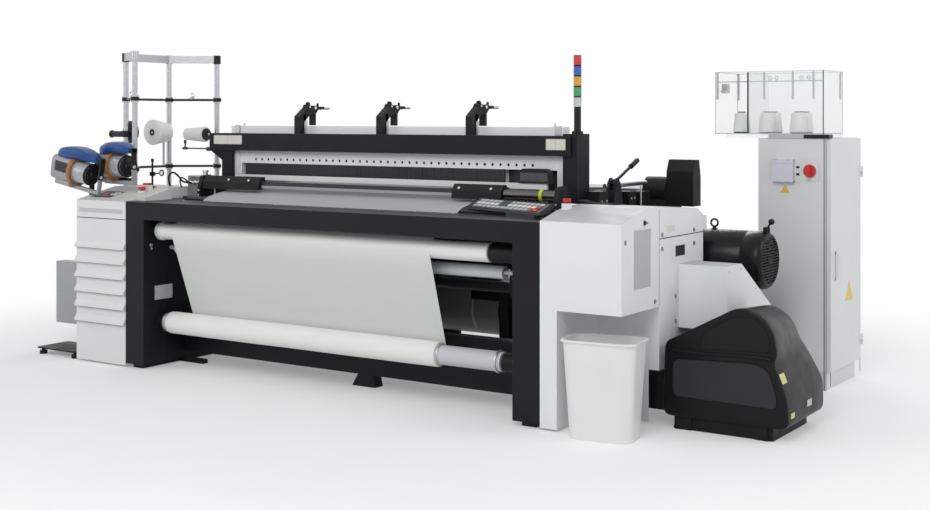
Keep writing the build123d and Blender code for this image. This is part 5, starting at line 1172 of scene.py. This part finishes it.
STAND_POSTS = ((-1868, 500), (-2122, 655), (-2122, 1035), (-1868, 1231))
RAIL_HEIGHTS = (1125, 1572)
ARM_AXIS = (655, 1345)


def make_stand():
    clamps = Shape()
    for x, depth in STAND_POSTS:
        for height in RAIL_HEIGHTS:
            clamps.ring(place(x, depth, height - 14), AXIS_Z, 25.6, 16, 28, 3)
            clamps.block(place(x + 26, depth, height), LOOM_AXES, (16, 14, 20), 2.5)
        if (x, depth) in (STAND_POSTS[1], STAND_POSTS[3]):
            clamps.ring(place(x, depth, 1815), AXIS_Z, 25.6, 16, 58.8, 3)
        clamps.ring(place(x, depth, 0.4), AXIS_Z, 45.4, 16.6, 20.8, 4)
    clamps.piece("stand_clamps", BLACK_PLASTIC)
    rails = Shape()
    for start, end in zip(STAND_POSTS[:-1], STAND_POSTS[1:]):
        for height in RAIL_HEIGHTS:
            a, b = place(*start, height), place(*end, height)
            span = (b - a).normalized() * 0.026
            rails.rod(a + span, b - span, 8.2, 1, 16)
    rails.piece("stand_rails", GRAPHITE)
    disc = Shape()
    disc.turned(
        place(-2122, 690, 1357),
        AXIS_Y,
        [(-30, 12), (-28, 30), (-6, 36), (0, 40), (0.5, 70), (3, 74), (9, 74), (12, 68), (14, 12)],
        56,
    )
    disc.piece("stand_disc", BLACK_PLASTIC)
    arm = Shape()
    arm.rod(place(-2250, *ARM_AXIS), place(-2140, *ARM_AXIS), 20, 4)
    arm.rod(place(-2262, *ARM_AXIS), place(-2248, *ARM_AXIS), 25, 4)
    arm.ring(place(-2122, 655, 1325), AXIS_Z, 26, 17.3, 42, 3)
    arm.block(place(-2146, *ARM_AXIS), LOOM_AXES, (28, 30, 34), 4)
    arm.piece("stand_arm", BLACK_PLASTIC)
    guides = Shape()
    for (x, depth), height in (((-1995, 577), 1125), ((-1995, 577), 1572), ((-2000, 1128), 1572)):
        guides.block(place(x, depth, height + 14), LOOM_AXES, (26, 22, 16), 3)
        guides.ring(place(x, depth + 4, height + 34), AXIS_Y, 15, 9, 7, 2)
    guides.piece("stand_guides", STEEL)


FEEDERS = (
    ((-1890, 84, 1125), (math.cos(math.radians(10)), 0, -math.sin(math.radians(10)))),
    ((-1665, 190, 1160), (math.cos(math.radians(14)), -math.sin(math.radians(14)), 0)),
)


DRUM_PROFILE = (
    (0, 50), (1, 66.4), (8, 67.2), (10, 66.4), (84, 66.3), (90, 67.4), (99, 67.4), (111, 62),
    (113, 57), (113, 30), (106, 28), (106, 4),
)


def make_feeders():
    for n, (seat, axis) in enumerate(FEEDERS):
        origin = place(*seat)
        axis = Vector(axis)
        across = axis.cross(AXIS_Z).normalized()
        up = across.cross(axis)
        axes = (axis, across, up)

        def at(along, side, rise):
            return origin + (axis * along + across * side + up * rise) / 1000

        cover = Shape()
        rows = []
        stations = (
            (-176, 22, 86), (-170, 42, 104), (-140, 58, 126), (-80, 66, 142), (-20, 68, 148),
            (40, 64, 144)
        )
        stations += ((92, 54, 132), (128, 40, 118), (150, 26, 106), (158, 14, 96))
        for along, half, top in stations:
            floor = 60 if along < -20 else 78
            floor = min(floor, top - 8)
            ring = []
            for k in range(24):
                angle = 2 * math.pi * k / 24
                c, s = math.cos(angle), math.sin(angle)
                ring.append(
                    at(
                        along,
                        half * math.copysign(abs(c) ** 0.5, c),
                        (top + floor) / 2 + (top - floor) / 2 * math.copysign(abs(s) ** 0.6, s),
                    )
                )
            rows.append([cover.bm.verts.new(p) for p in ring])
        cover.skin(rows)
        cover.piece(f"feeder_cover_{n + 1}", BLUE_PLASTIC, angle=50)
        trim = Shape()
        for side in (-1, 1):
            trim.block(at(-96, side * 65.2, 12), axes, (120, 2, 62), 0.8)
            for k in range(5):
                trim.block(at(-136 + k * 20, side * 66.6, 8), axes, (5, 2, 44), 0.8)
        trim.block(at(-190.6, 0, 0), axes, (2.4, 90, 100), 1)
        trim.piece(f"feeder_side_grilles_{n + 1}", GRAPHITE)
        ring = Shape()
        ring.ring(at(-30, 0, 0), axis, 89.2, 70, 30, 4, 72)
        ring.piece(f"feeder_ring_{n + 1}", ORANGE_PLASTIC)
        drum = Shape()
        drum.turned(
            at(-1, 0, 0),
            axis,
            DRUM_PROFILE,
            64,
        )
        for k in range(12):
            angle = 2 * math.pi * k / 12
            spoke = across * math.cos(angle) + up * math.sin(angle)
            side = axis.cross(spoke)
            drum.block(at(46, 0, 0) + spoke * 0.0664, (axis, side, spoke), (66, 10, 2.6), 0.9)
        drum.piece(f"feeder_drum_shell_{n + 1}", DRUM_GREY, body=f"feeder_drum_{n + 1}")
        nose = Shape()
        nose.turned(
            at(105, 0, 0), axis, [(0, 40), (8, 56), (9.4, 54), (9.6, 20), (13, 17), (17, 10)], 48
        )
        for k in range(6):
            angle = 2 * math.pi * k / 6
            spoke = across * math.cos(angle) + up * math.sin(angle)
            screw_at = at(114, 0, 0) + spoke * 0.038
            nose.turned(screw_at, axis, [(0, 4), (2, 4), (2.6, 3)], 12)
        nose.piece(f"feeder_drum_nose_{n + 1}", BLACK_PLASTIC, body=f"feeder_drum_{n + 1}")
        arm = Shape()
        arm.block(at(184, 0, 56), axes, (14, 30, 108), 4, 3)
        arm.block(at(120, 0, 97), axes, (142, 36, 24), 6, 3)
        arm.ring(at(191, 0, 0) - axis * 0.014, axis, 22, 9, 14, 3)
        arm.piece(f"feeder_eye_arm_{n + 1}", BLACK_PLASTIC)
        eye = Shape()
        eye.ring(at(176, 0, 0), axis, 9.6, 4, 16, 1.8)
        eye.piece(f"feeder_eye_{n + 1}", CERAMIC)


FEEDER_BAR = (200, 1075)
PLATE_LOW = 163
PLATE_HIGH = 548


def make_feeder_post():
    box = Shape()
    box.box(-2267.8, -1938, 213, 216.2, PLATE_LOW, PLATE_HIGH, 1.5)
    box.box(-2267.8, -2266.8, 216, 288, PLATE_LOW, PLATE_HIGH, 1.2)
    box.box(-2268, -1940, 216, 288, 546, 548.6, 1.2)
    box.piece("control_plate", CONTROL_GREY)
    screws = Shape()
    for x in (-2258, -1950):
        for height in (176, 534):
            screw_head(screws, x, 213, height, -AXIS_Y, 4, 2.4)
    screws.piece("control_plate_screws", STEEL)
    ends = Shape()
    for x0, x1 in ((-2214, -2196), (-1572, -1554)):
        ends.rod(place(x0, *FEEDER_BAR), place(x1, *FEEDER_BAR), 14.6, 3)
    ends.piece("feeder_bar_caps", BLACK_PLASTIC)


# Right side: covers, motor, shedding box, bin, tower, cabinet and cone box

LOCK_CENTRE = (233, 965)


def make_right_covers():
    Shape().box(1818.4, 1819.6, 120, 300, 666, 935, 0.4).piece("window_sheet", WINDOW_GREY)
    rim = Shape()
    for depth in (114, 300):
        rim.box(1817.8, 1822, depth, depth + 6, 660, 941, 1.4, 3)
    for height in (660, 935):
        rim.box(1817.8, 1822, 118, 302, height, height + 6, 1.4, 3)
    rim.piece("window_rim", COVER_WHITE)
    Shape().box(1818.3, 1819.2, 574, 676, 781, 831, 0.3).piece("vent_well", BLACK_PLASTIC)
    slats = Shape()
    for n in range(6):
        height = 785 + n * 8.4
        slats.box(1818.6, 1821.4, 576, 674, height, height + 3.4, 0.8)
    for depth in (573, 672):
        slats.box(1818.6, 1822, depth, depth + 5, 780, 832, 1)
    slats.piece("vent_slats", GRAPHITE)
    Shape().box(1818.2, 1819, 392, 898, 876.4, 880.6, 0).piece("right_side_seam", BLACK_PLASTIC)
    Shape().box(1819.2, 1820.4, 388.6, 391.4, 562, 1015, 0.3).piece(
        "right_cover_joint", BLACK_PLASTIC
    )
    washers = Shape()
    for depth, height in COVER_SCREWS:
        washers.ring(place(1819.4, depth, height), AXIS_X, 10.5, 7.3, 2, 0.7, 24)
    washers.piece("fastener_washers", BLACK_PLASTIC)
    slots = Shape()
    for depth, height in COVER_SCREWS:
        slots.block(place(1824.2, depth, height), LOOM_AXES, (1, 10.5, 2.2), 0.3)
    slots.piece("fastener_slots", BLACK_PLASTIC)
    Shape().box(1819.4, 1820.9, 470, 560, 905, 935, 0.4).piece("side_bare_label", CREAM)
    Shape().ring(place(1818.8, *LOCK_CENTRE), AXIS_X, 17, 11.3, 4, 1.2, 40).piece("lock_ring", CHROME)
    keyway = Shape()
    keyway.block(place(1826.5, *LOCK_CENTRE), LOOM_AXES, (2, 3, 14), 0.5)
    keyway.piece("lock_keyway", STEEL, body="cover_lock")


COVER_SCREWS = (
    (41, 888), (346, 589), (425, 829), (425, 896), (575, 469), (575, 589), (789, 829), (789, 896),
)

BELT_OUTLINE = ((612, 448), (612, 731), (774, 731), (1158, 497), (1158, 448))


def make_belt_cover():
    face = Shape()
    corners = [place(2072.6, depth, height) for depth, height in BELT_OUTLINE]
    face.prism(corners, Vector((0.0022, 0, 0)), 0.8)
    face.piece("belt_cover_face", COVER_WHITE)
    bolts = Shape()
    for depth, height in ((624, 460), (624, 720), (768, 720), (1146, 460), (960, 604), (880, 460)):
        screw_head(bolts, 2074.6, depth, height, AXIS_X, 6, 3.5)
    bolts.piece("belt_cover_bolts", STEEL)
    flange = Shape()
    flange.box(1820.4, 1823.4, 586, 600, 440, 743, 1)
    for height in (470, 590, 710):
        screw_head(flange, 1823.2, 593, height, AXIS_X, 4, 2)
    flange.piece("belt_cover_flange", COVER_WHITE)


COWL_PROFILE = (
    (0, 60), (0, 138), (4, 144), (14, 146.6), (420, 146.6), (424, 144.6), (432, 144.6), (436, 146.6),
    (506, 146.6), (520, 143.5), (531, 136), (538, 126), (539.5, 119), (537, 117), (529, 116), (529, 20),
)
MOTOR_DEPTH = 1100
MOTOR_HEIGHT = 730
MOTOR_BOLT_REACH = 146
GRILLE_RADIUS = 118
EYE_X = 1797
EYE_HEIGHT = 909
EYE_RADIUS = 19


def make_motor():
    shell = Shape()
    shell.turned(
        place(1560.4, MOTOR_DEPTH, MOTOR_HEIGHT),
        AXIS_X,
        COWL_PROFILE,
        96,
    )
    cowl = shell.piece("motor_cowl", MOTOR_BLACK)
    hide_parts("motor_housing")
    grille = Shape()
    for n in range(17):
        rise = -112 + n * 14
        half = math.sqrt(GRILLE_RADIUS**2 - rise**2)
        grille.block(
            place(2096.5, MOTOR_DEPTH, MOTOR_HEIGHT + rise), LOOM_AXES, (6, 2 * half, 5), 1.6, 2
        )
    for reach in (30, 62, 92):
        grille.ring(
            place(2094, MOTOR_DEPTH, MOTOR_HEIGHT), AXIS_X, reach + 2.5, reach - 2.5, 6, 1, 64
        )
    grille.turned(
        place(2094, MOTOR_DEPTH, MOTOR_HEIGHT), AXIS_X, [(0, 20), (4, 22), (6.6, 20), (7, 8)], 40
    )
    guard = grille.piece("motor_grille", CAST_BLACK)
    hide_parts("motor_housing")
    eye = Shape()
    eye.rod(place(EYE_X, MOTOR_DEPTH, 870), place(EYE_X, MOTOR_DEPTH, 889), 10, 2)
    eye.rod(place(EYE_X, MOTOR_DEPTH, 872), place(EYE_X, MOTOR_DEPTH, 880), 17, 2)
    points = []
    for k in range(25):
        angle = 2 * math.pi * k / 24 - math.pi / 2
        across, rise = EYE_RADIUS * math.cos(angle), EYE_RADIUS * math.sin(angle)
        points.append(place(EYE_X + across, MOTOR_DEPTH, EYE_HEIGHT + rise))
    eye.pipe(points, 5, 12, 1)
    lift = eye.piece("motor_eye", CAST_BLACK)
    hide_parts("motor_housing")
    lugs = Shape()
    for near, far in ((1082.5, 1089.5), (1110.5, 1117.5)):
        lugs.box(2066, 2090, near, far, 869, 898, 3, 3)
    lug_pair = lugs.piece("brake_lugs", CAST_BLACK)
    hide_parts("motor_housing")
    bolts = Shape()
    for k in range(6):
        angle = math.radians(30 + 60 * k)
        spoke = Vector((0, math.cos(angle), math.sin(angle)))
        screw_head(
            bolts,
            1578,
            MOTOR_DEPTH + MOTOR_BOLT_REACH * math.cos(angle),
            MOTOR_HEIGHT + MOTOR_BOLT_REACH * math.sin(angle),
            spoke,
            6,
            3,
        )
    bolts.piece("motor_bolts", CAST_BLACK)


SHED_DOOR = (
    (1904, 157), (1904, 328), (2313, 346), (2372, 318), (2408, 212), (2413, 150),
)
SHED_UPPER = (
    (2040, 391), (2046, 454), (2206, 550), (2290, 556), (2346, 524), (2374, 472), (2384, 400)
)


def shrink(outline, inset):
    """An outline pulled in towards its middle by about this much."""
    cx = sum(x for x, _ in outline) / len(outline)
    cz = sum(z for _, z in outline) / len(outline)
    moved = []
    for x, z in outline:
        reach = math.hypot(x - cx, z - cz)
        share = (reach - inset) / reach
        moved.append((cx + (x - cx) * share, cz + (z - cz) * share))
    return moved


def rounded(outline, radius, steps=5):
    """An outline with every corner turned by arcs of about this radius, the same count each time."""
    count = len(outline)
    line = []
    for i in range(count):
        (ax, az), (bx, bz), (cx, cz) = outline[i - 1], outline[i], outline[(i + 1) % count]
        before, after = math.hypot(ax - bx, az - bz), math.hypot(cx - bx, cz - bz)
        reach = min(radius, before * 0.45, after * 0.45)
        start = (bx + (ax - bx) * reach / before, bz + (az - bz) * reach / before)
        end = (bx + (cx - bx) * reach / after, bz + (cz - bz) * reach / after)
        for k in range(steps + 1):
            s = k / steps
            line.append(
                (
                    (1 - s) ** 2 * start[0] + 2 * s * (1 - s) * bx + s * s * end[0],
                    (1 - s) ** 2 * start[1] + 2 * s * (1 - s) * bz + s * s * end[1],
                )
            )
    return line


SHED_FRONT = (
    (1850, 60), (1862, 405), (1925, 436), (2207, 584), (2260, 592), (2343, 556), (2393, 490),
    (2408, 385), (2392, 352), (2457, 190), (2462, 60),
)
SHED_BACK = (
    (1850, 60), (1862, 400), (1920, 430), (2150, 540), (2211, 547), (2290, 505), (2325, 450),
    (2345, 400), (2393, 329), (2457, 215), (2457, 60),
)


def cut_box(shape, x0, x1, d0, d1, z0, z1):
    """The shape with a box taken out of it."""
    body = bpy.data.objects.new("cut_body", bpy.data.meshes.new("cut_body"))
    shape.bm.normal_update()
    bmesh.ops.recalc_face_normals(shape.bm, faces=shape.bm.faces)
    shape.bm.to_mesh(body.data)
    cutter = bpy.data.objects.new("cutter", bpy.data.meshes.new("cutter"))
    tool = Shape()
    tool.box(x0, x1, d0, d1, z0, z1, 0)
    bmesh.ops.recalc_face_normals(tool.bm, faces=tool.bm.faces)
    tool.bm.to_mesh(cutter.data)
    tool.bm.free()
    for thing in (body, cutter):
        bpy.context.scene.collection.objects.link(thing)
    change = body.modifiers.new("cut", "BOOLEAN")
    change.object = cutter
    change.operation = "DIFFERENCE"
    change.solver = "EXACT"
    bpy.context.view_layer.update()
    result = body.evaluated_get(bpy.context.evaluated_depsgraph_get()).to_mesh()
    shape.bm.clear()
    shape.bm.from_mesh(result)
    for thing in (body, cutter):
        bpy.data.objects.remove(thing)


def make_shedding_box():
    body = Shape()
    rows = ((360.6, 12, 0), (361.6, 6, 0), (365, 2, 0), (372, 0.4, 0))
    rows += ((480, 0.4, 0.24), (600, 0.4, 0.49), (720, 0.4, 0.73))
    rows += ((838, 0.4, 1), (845, 2, 1), (848.6, 6, 1), (849.6, 12, 1))
    front, rear = rounded(SHED_FRONT, 46), rounded(SHED_BACK, 46)
    rings = []
    for depth, inset, share in rows:
        blend = [
            (a[0] + (b[0] - a[0]) * share, a[1] + (b[1] - a[1]) * share) for a,
            b in zip(front, rear)
        ]
        rings.append([body.bm.verts.new(place(x, depth, z)) for x, z in shrink(blend, inset)])
    body.skin(rings)
    cut_box(body, 1800, 2083, 595, 900, 425.5, 700)
    hood = body.piece("shedding_hood", SHED_BLACK, angle=40)
    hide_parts("shedding_box")
    base = Shape()
    base.box(1903, 2384, 380, 820, 0.4, 61, 6, 3)
    base.box(1742, 1853, 430, 640, 66, 224, 8, 3)
    for x in (1930, 2300):
        base.box(x, x + 60, 372, 384, 0.6, 60, 4)
    plinth = base.piece("shedding_plinth", CAST_BLACK)
    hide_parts("shedding_box")
    door = Shape()
    outline = rounded(shrink(SHED_DOOR, 4), 34, 4)
    door.prism([place(x, 360.9, z) for x, z in outline], Vector((0, -0.0032, 0)), 1.4, 3)
    door.piece("shedding_door", SHED_PANEL)
    window = Shape()
    outline = rounded(shrink(SHED_UPPER, 3), 40, 5)
    window.prism([place(x, 360.9, z) for x, z in outline], Vector((0, -0.0026, 0)), 1.2, 3)
    window.piece("shedding_window", SHED_WINDOW)
    trim = Shape()
    trim.pipe(
        [
            place(1900, 361, 372), place(1986, 358, 366), place(2300, 358, 374),
            place(2384, 361, 368)
        ],
        7,
    )
    line = [place(x, 361, z) for x, z in rounded(SHED_DOOR, 34, 4)]
    trim.pipe(line + [line[0]], 3.2, 8, 1)
    line = [place(x, 361, z) for x, z in rounded(SHED_UPPER, 40, 5)]
    trim.pipe(line + [line[0]], 3.2, 8, 1)
    trim.piece("shedding_trim", SHED_BLACK)
    labels = Shape()
    side = Vector((0.93, 0, 0.37)).normalized()
    up = side.cross(AXIS_Y).normalized()
    labels.block(place(2421, 402, 284) + side * 0.0012, (AXIS_Y, up, side), (58, 46, 2.2), 0.6)
    labels.block(place(2460.6, 420, 120), (AXIS_Y, AXIS_Z, AXIS_X), (46, 24, 2), 0.6)
    labels.piece("shedding_bare_labels", PALE_YELLOW)
    plate = Shape()
    plate.block(place(2459.8, 640, 140), (AXIS_Y, AXIS_Z, AXIS_X), (60, 30, 2), 0.8)
    plate.piece("shedding_bare_plate", LABEL_GREY)
    feet = Shape()
    for x in (1925, 2350):
        for depth in (400, 800):
            feet.turned(place(x, depth, 0.3), AXIS_Z, [(0, 30), (2, 32), (10, 32), (14, 24)], 32)
    feet.piece("shedding_feet", CAST_BLACK)


def make_bin():
    turn = math.radians(8)
    along = Vector((math.cos(turn), math.sin(turn), 0))
    across = Vector((-math.sin(turn), math.cos(turn), 0))
    centre = place(1715, 40, 0)
    lip = Shape()
    rows = []
    for k in range(96):
        angle = 2 * math.pi * k / 96
        c, s = math.cos(angle), math.sin(angle)
        u = 175 * math.copysign(abs(c) ** 0.42, c)
        v = 117.5 * math.copysign(abs(s) ** 0.42, s)
        rows.append((u, v))
    section = ((-1.5, 447), (3, 448.6), (7.6, 447.6), (8.2, 441), (6.4, 440), (2, 445.2))
    loops = []
    for u, v in rows:
        reach = math.hypot(u, v)
        loop = []
        for grow, z in section:
            k = (reach + grow) / reach
            point = centre + along * (u * k / 1000) + across * (v * k / 1000) + AXIS_Z * (z / 1000)
            loop.append(lip.bm.verts.new(point))
        loops.append(loop)
    lip.skin(loops, closed=True, inward=True)
    lip.piece("bin_rolled_lip", WHITE_PLASTIC, angle=60)


def make_tower():
    x, depth = 1211, 700
    base = 1368
    pole = Shape()
    pole.turned(
        place(x, depth, base), AXIS_Z,
        [(0, 26), (2, 30), (10, 30), (14, 26), (18, 18.4), (139, 18.4), (140, 15)], 40
    )
    bottom = base + 139
    for n in range(4):
        z = bottom + 50 + n * 54
        pole.turned(
            place(x, depth, z - 0.4), AXIS_Z, [(0, 17), (0.8, 20.4), (4, 20.4), (4.8, 17)], 40
        )
    top = bottom + 5 * 50 + 4 * 4
    pole.turned(place(x, depth, top - 2), AXIS_Z, [(0, 17), (1.6, 20.6), (3, 20.6), (3.9, 18)], 40)
    pole_piece = pole.piece("tower_pole", BLACK_PLASTIC)
    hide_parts("signal_tower")
    finishes = (LENS_CLEAR, LENS_GREEN, LENS_AMBER, LENS_BLUE, LENS_RED)
    names = ("clear", "green", "amber", "blue", "red")
    for n in range(5):
        z = bottom + n * 54
        profile = [(0.4, 17)]
        for k in range(16):
            ridge = 21 if k % 2 else 20.2
            profile.append((1.4 + k * 47 / 15, ridge))
        profile.append((49.6, 17))
        part = Shape()
        part.turned(place(x, depth, z), AXIS_Z, profile, 48)
        thing = part.piece(f"tower_lens_{names[n]}", finishes[n], angle=50)
        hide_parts("signal_tower")


def make_cabinet():
    front = 1583
    Shape().box(2084, 2188, front - 2, front + 0.4, 1116, 1220, 2).piece("switch_plate", PALE_ORANGE)
    lid = Shape()
    x0, x1, z0, z1 = 1934, 2052, 1107, 1226
    lid.box(x0, x1, front - 29, front - 24, z0, z1, 2, 3)
    for a, b in ((x0, x0 + 4), (x1 - 4, x1)):
        lid.box(a, b, front - 27, front - 0.6, z0, z1, 1)
    for a, b in ((z0, z0 + 4), (z1 - 4, z1)):
        lid.box(x0, x1, front - 27, front - 0.6, a, b, 1)
    lid.piece("small_box_lid", PALE_LILAC)
    hinge = Shape()
    for x in (1958, 2028):
        hinge.rod(place(x - 9, front - 29, 1226), place(x + 9, front - 29, 1226), 3.2, 0.8, 16)
    hinge.box(1936, 2050, front - 30.2, front - 28.8, 1205, 1207, 0.4)
    hinge.piece("small_box_hinges", LABEL_GREY)
    marks = Shape()
    for z in (1148, 1186):
        marks.box(2060, 2077, front - 1.6, front + 0.3, z - 6, z + 6, 0.6)
    marks.piece("small_black_plates", BLACK_PLASTIC)
    signs = Shape()
    x, z, size = 1997.5, 1067, 26
    low, high = z - size * 0.8, z + size * 0.95
    corners = [place(x + reach, front + 0.3, low) for reach in (-size, size)]
    signs.prism(corners + [place(x, front + 0.3, high)], Vector((0, -0.0014, 0)), 0.6)
    signs.piece("bare_triangle_front", AMBER_PLATE)
    signs = Shape()
    side = 2247
    depth, z, size = 1892, 500, 66
    low, high = z - size * 0.72, z + size * 0.95
    corners = [place(side - 0.3, depth + reach, low) for reach in (-size, size)]
    signs.prism(corners + [place(side - 0.3, depth, high)], Vector((0.0016, 0, 0)), 0.6)
    signs.piece("bare_triangle_side", AMBER_PLATE, body="cabinet_door")
    gap = Shape()
    gap.box(2210, 2214, front - 0.8, front + 0.3, 4, 1337, 0.2)
    gap.box(2221, 2223.5, front - 0.8, front + 0.3, 4, 1337, 0.2)
    gap.piece("cabinet_front_gap", BLACK_PLASTIC)
    pull = Shape()
    pull.box(2246.6, 2253, 1640, 1652, 586, 739, 2.5, 3)
    pull.rod(place(2246.6, 1646, 728), place(2256, 1646, 728), 7, 1.5, 20)
    pull.piece("door_handle_lever", GRAPHITE, body="cabinet_door")
    gasket = Shape()
    for depth in (1588, 2094):
        gasket.box(2243.4, 2245.4, depth, depth + 3, 30, 1330, 0)
    gasket.piece("cabinet_gasket", BLACK_PLASTIC)


TENSIONER_X = 1630
TENSIONER_HEIGHT = 1622


def make_cone_box():
    left, right = 1596, 2209
    front, rear = 1583, 1903
    low, high = 1362, 1705
    posts = Shape()
    for x in (1605, 1876, 2037, 2151):
        posts.box(x - 5, x + 5, front + 6, front + 14, 1552, high - 5, 1.5)
    posts.box(left + 6, left + 16, rear - 14, rear - 6, 1552, high - 5, 1.5)
    posts.box(right - 16, right - 6, rear - 14, rear - 6, 1552, high - 5, 1.5)
    posts.rod(place(left + 8, front + 26, 1650), place(right - 8, front + 26, 1650), 3, 0.6, 16)
    for x in (1905, 1940, 2080, 2120):
        posts.ring(place(x, front + 22, 1668), AXIS_Y, 11, 6.5, 6, 1.2, 24)
        posts.rod(place(x, front + 25, 1650), place(x, front + 25, 1660), 2.5, 0.5, 12)
    posts.piece("cone_box_posts", ACRYLIC_POST)
    edges = Shape()
    for depth in (front - 0.4, rear - 3.6):
        edges.box(left - 0.4, right + 0.4, depth, depth + 4, low - 0.2, low + 4.4, 0.4)
        edges.box(left - 0.4, right + 0.4, depth, depth + 4, high - 4.2, high - 0.1, 0.4)
        for x in (left - 0.4, right - 3.6):
            edges.box(x, x + 4, depth, depth + 4, low, high, 0.4)
    for x in (left - 0.4, right - 3.6):
        edges.box(x, x + 4, front, rear, low - 0.2, low + 4.4, 0.4)
        edges.box(x, x + 4, front, rear, high - 4.2, high - 0.1, 0.4)
    edges.piece("acrylic_edges", ACRYLIC_EDGE)
    divider = Shape()
    divider.box(1780, 1788, front + 5, front + 12, low + 4.2, high - 5, 1)
    divider.box(right - 4.4, right + 0.3, front - 0.5, front + 4, low, high, 0.6)
    divider.piece("divider_edge", GRAPHITE)
    tension = Shape()
    tension.box(1612, 1648, 1636, 1664, 1588, 1640, 3)
    tension.ring(place(TENSIONER_X, 1634.5, TENSIONER_HEIGHT), AXIS_Y, 16, 4, 4, 1)
    tension.ring(place(TENSIONER_X, 1629.5, TENSIONER_HEIGHT), AXIS_Y, 14, 4, 3, 1)
    tension.rod(
        place(TENSIONER_X, 1640, TENSIONER_HEIGHT), place(TENSIONER_X, 1624, TENSIONER_HEIGHT), 3.4, 0.8, 16
    )
    tension.rod(place(1600.5, 1650, 1600), place(1614, 1650, 1600), 6, 1, 16)
    tension.piece("yarn_tensioner", STEEL)
    Shape().box(1905, 2102, 1579, 1640, 1341, 1361, 1.5).piece("cone_box_base_plate", LABEL_GREY)
    Shape().box(2102.5, 2240, 1577, 1640, 1341, 1361.4, 1.5).piece(
        "cone_box_base_block", BLACK_PLASTIC
    )


GUARD_DEPTH = 850
GUARD_HEIGHT = 410
GUARD_RADIUS = 148


def make_rear_guard():
    """A curved sheet guard, its flat upper part and end plates, and the breast beam's inner plate."""
    guard = Shape()
    line = [(GUARD_DEPTH, GUARD_HEIGHT - GUARD_RADIUS)]
    for k in range(1, 24):
        angle = math.radians(-90 - 180 * k / 24)
        line.append(
            (
                GUARD_DEPTH + GUARD_RADIUS * math.cos(angle),
                GUARD_HEIGHT + GUARD_RADIUS * math.sin(angle)
            )
        )
    line += [(800, 560), (760, 574), (746, 600), (746, 785)]
    rows = [[place(x, depth, height) for x in (-1000, -500, 0, 560, 725)] for depth, height in line]
    guard.shell(rows, 0.0025)
    guard.piece("rear_guard", SHROUD_GREY, angle=40)
    bands = Shape()
    for x in (-600, -60, 560):
        points = [place(x, depth, height) for depth, height in line[1:24]]
        rows = [[p + Vector((-0.006, -0.0012, 0)), p + Vector((0.006, -0.0012, 0))] for p in points]
        bands.shell(rows, 0.0016)
    bands.box(-1000, 600, 742, 745, 576, 580, 0.4)
    bands.piece("guard_bands", LABEL_GREY)
    end = Shape()
    for x in (725.5, -1003.5):
        end.turned(
            place(x, GUARD_DEPTH, GUARD_HEIGHT), AXIS_X, [(0, 20), (0, 150), (2.5, 150), (2.5, 20)],
            64
        )
    end.box(797, 852, 598, 640, 290, 590, 3)
    end.box(594, 797, 636, 664, 476, 590, 3)
    end.box(733, 905, 700, 704, 180, 470, 1.5)
    end.box(905, 1150, 700, 704, 180, 600, 1.5)
    end.box(180, 387, 820, 850, 226, 300, 2)
    end.piece("guard_ends", CAST_BLACK)
    Shape().box(-1180, 1180, 252, 256, 700, 898, 1).piece("beam_inner_lip", FRAME_BLACK)


FRAME_TOP = 966


def make_machinery():
    """Four drive boxes on a bar, a tube and two thin rods on the right side frame, behind the column."""
    boxes = Shape()
    boxes.box(1262, 1330, 716, 812, FRAME_TOP, 1072, 6, 3)
    boxes.box(1270, 1322, 824, 872, FRAME_TOP, 1052, 5, 3)
    boxes.box(1266, 1334, 1052, 1130, FRAME_TOP, 1056, 6, 3)
    boxes.box(1264, 1336, 1168, 1290, FRAME_TOP, 1050, 8, 3)
    boxes.box(1284, 1306, 740, 1290, FRAME_TOP, 990, 3)
    boxes.piece("side_drive_boxes", CAST_BLACK)
    caps = Shape()
    for depth in (738, 790, 1074, 1110, 1200, 1258):
        screw_head(caps, 1332, depth, 1020, AXIS_X, 6, 4)
    for depth in (750, 1090, 1230):
        screw_head(caps, 1298, depth, 1050, AXIS_Z, 7, 5)
    caps.rod(place(1290, 850, 1094), place(1290, 1330, 1094), 14, 2, 32)
    caps.rod(place(1352, 1150, 968), place(1352, 1150, 1090), 4, 0.8, 16)
    caps.rod(place(1352, 1440, 968), place(1352, 1440, 1120), 4, 0.8, 16)
    caps.piece("side_drive_fittings", STEEL)


BEAM_DEPTH = 1560
BEAM_HEIGHT = 335
FLANGE_BOLT_REACH = 110


def make_back():
    hubs = Shape()
    for side in (-1, 1):
        x = side * 1010
        for k in range(8):
            angle = math.radians(45 * k)
            screw_head(
                hubs,
                x + side * 0.3,
                BEAM_DEPTH + FLANGE_BOLT_REACH * math.cos(angle),
                BEAM_HEIGHT + FLANGE_BOLT_REACH * math.sin(angle),
                side * AXIS_X,
                9,
                6,
            )
    hubs.piece("warp_flange_bolts", STEEL, body="warp_beam")


finish_nodes()
make_cloth()
make_wound_cloth()
make_packages()
make_healds()
make_reed()
make_temples()
make_panel()
make_breast_beam()
make_rolls()
make_left_cover()
make_rod_stand()
make_valve_box()
make_left_post()
make_girder_fittings()
make_stand()
make_feeders()
make_feeder_post()
make_right_covers()
make_belt_cover()
make_motor()
make_shedding_box()
make_bin()
make_tower()
make_cabinet()
make_cone_box()
make_rear_guard()
make_machinery()
make_back()
make_stage()
make_world()
make_lights()
make_camera()
bpy.context.scene.view_settings.view_transform = "Standard"

bpy.context.view_layer.update()
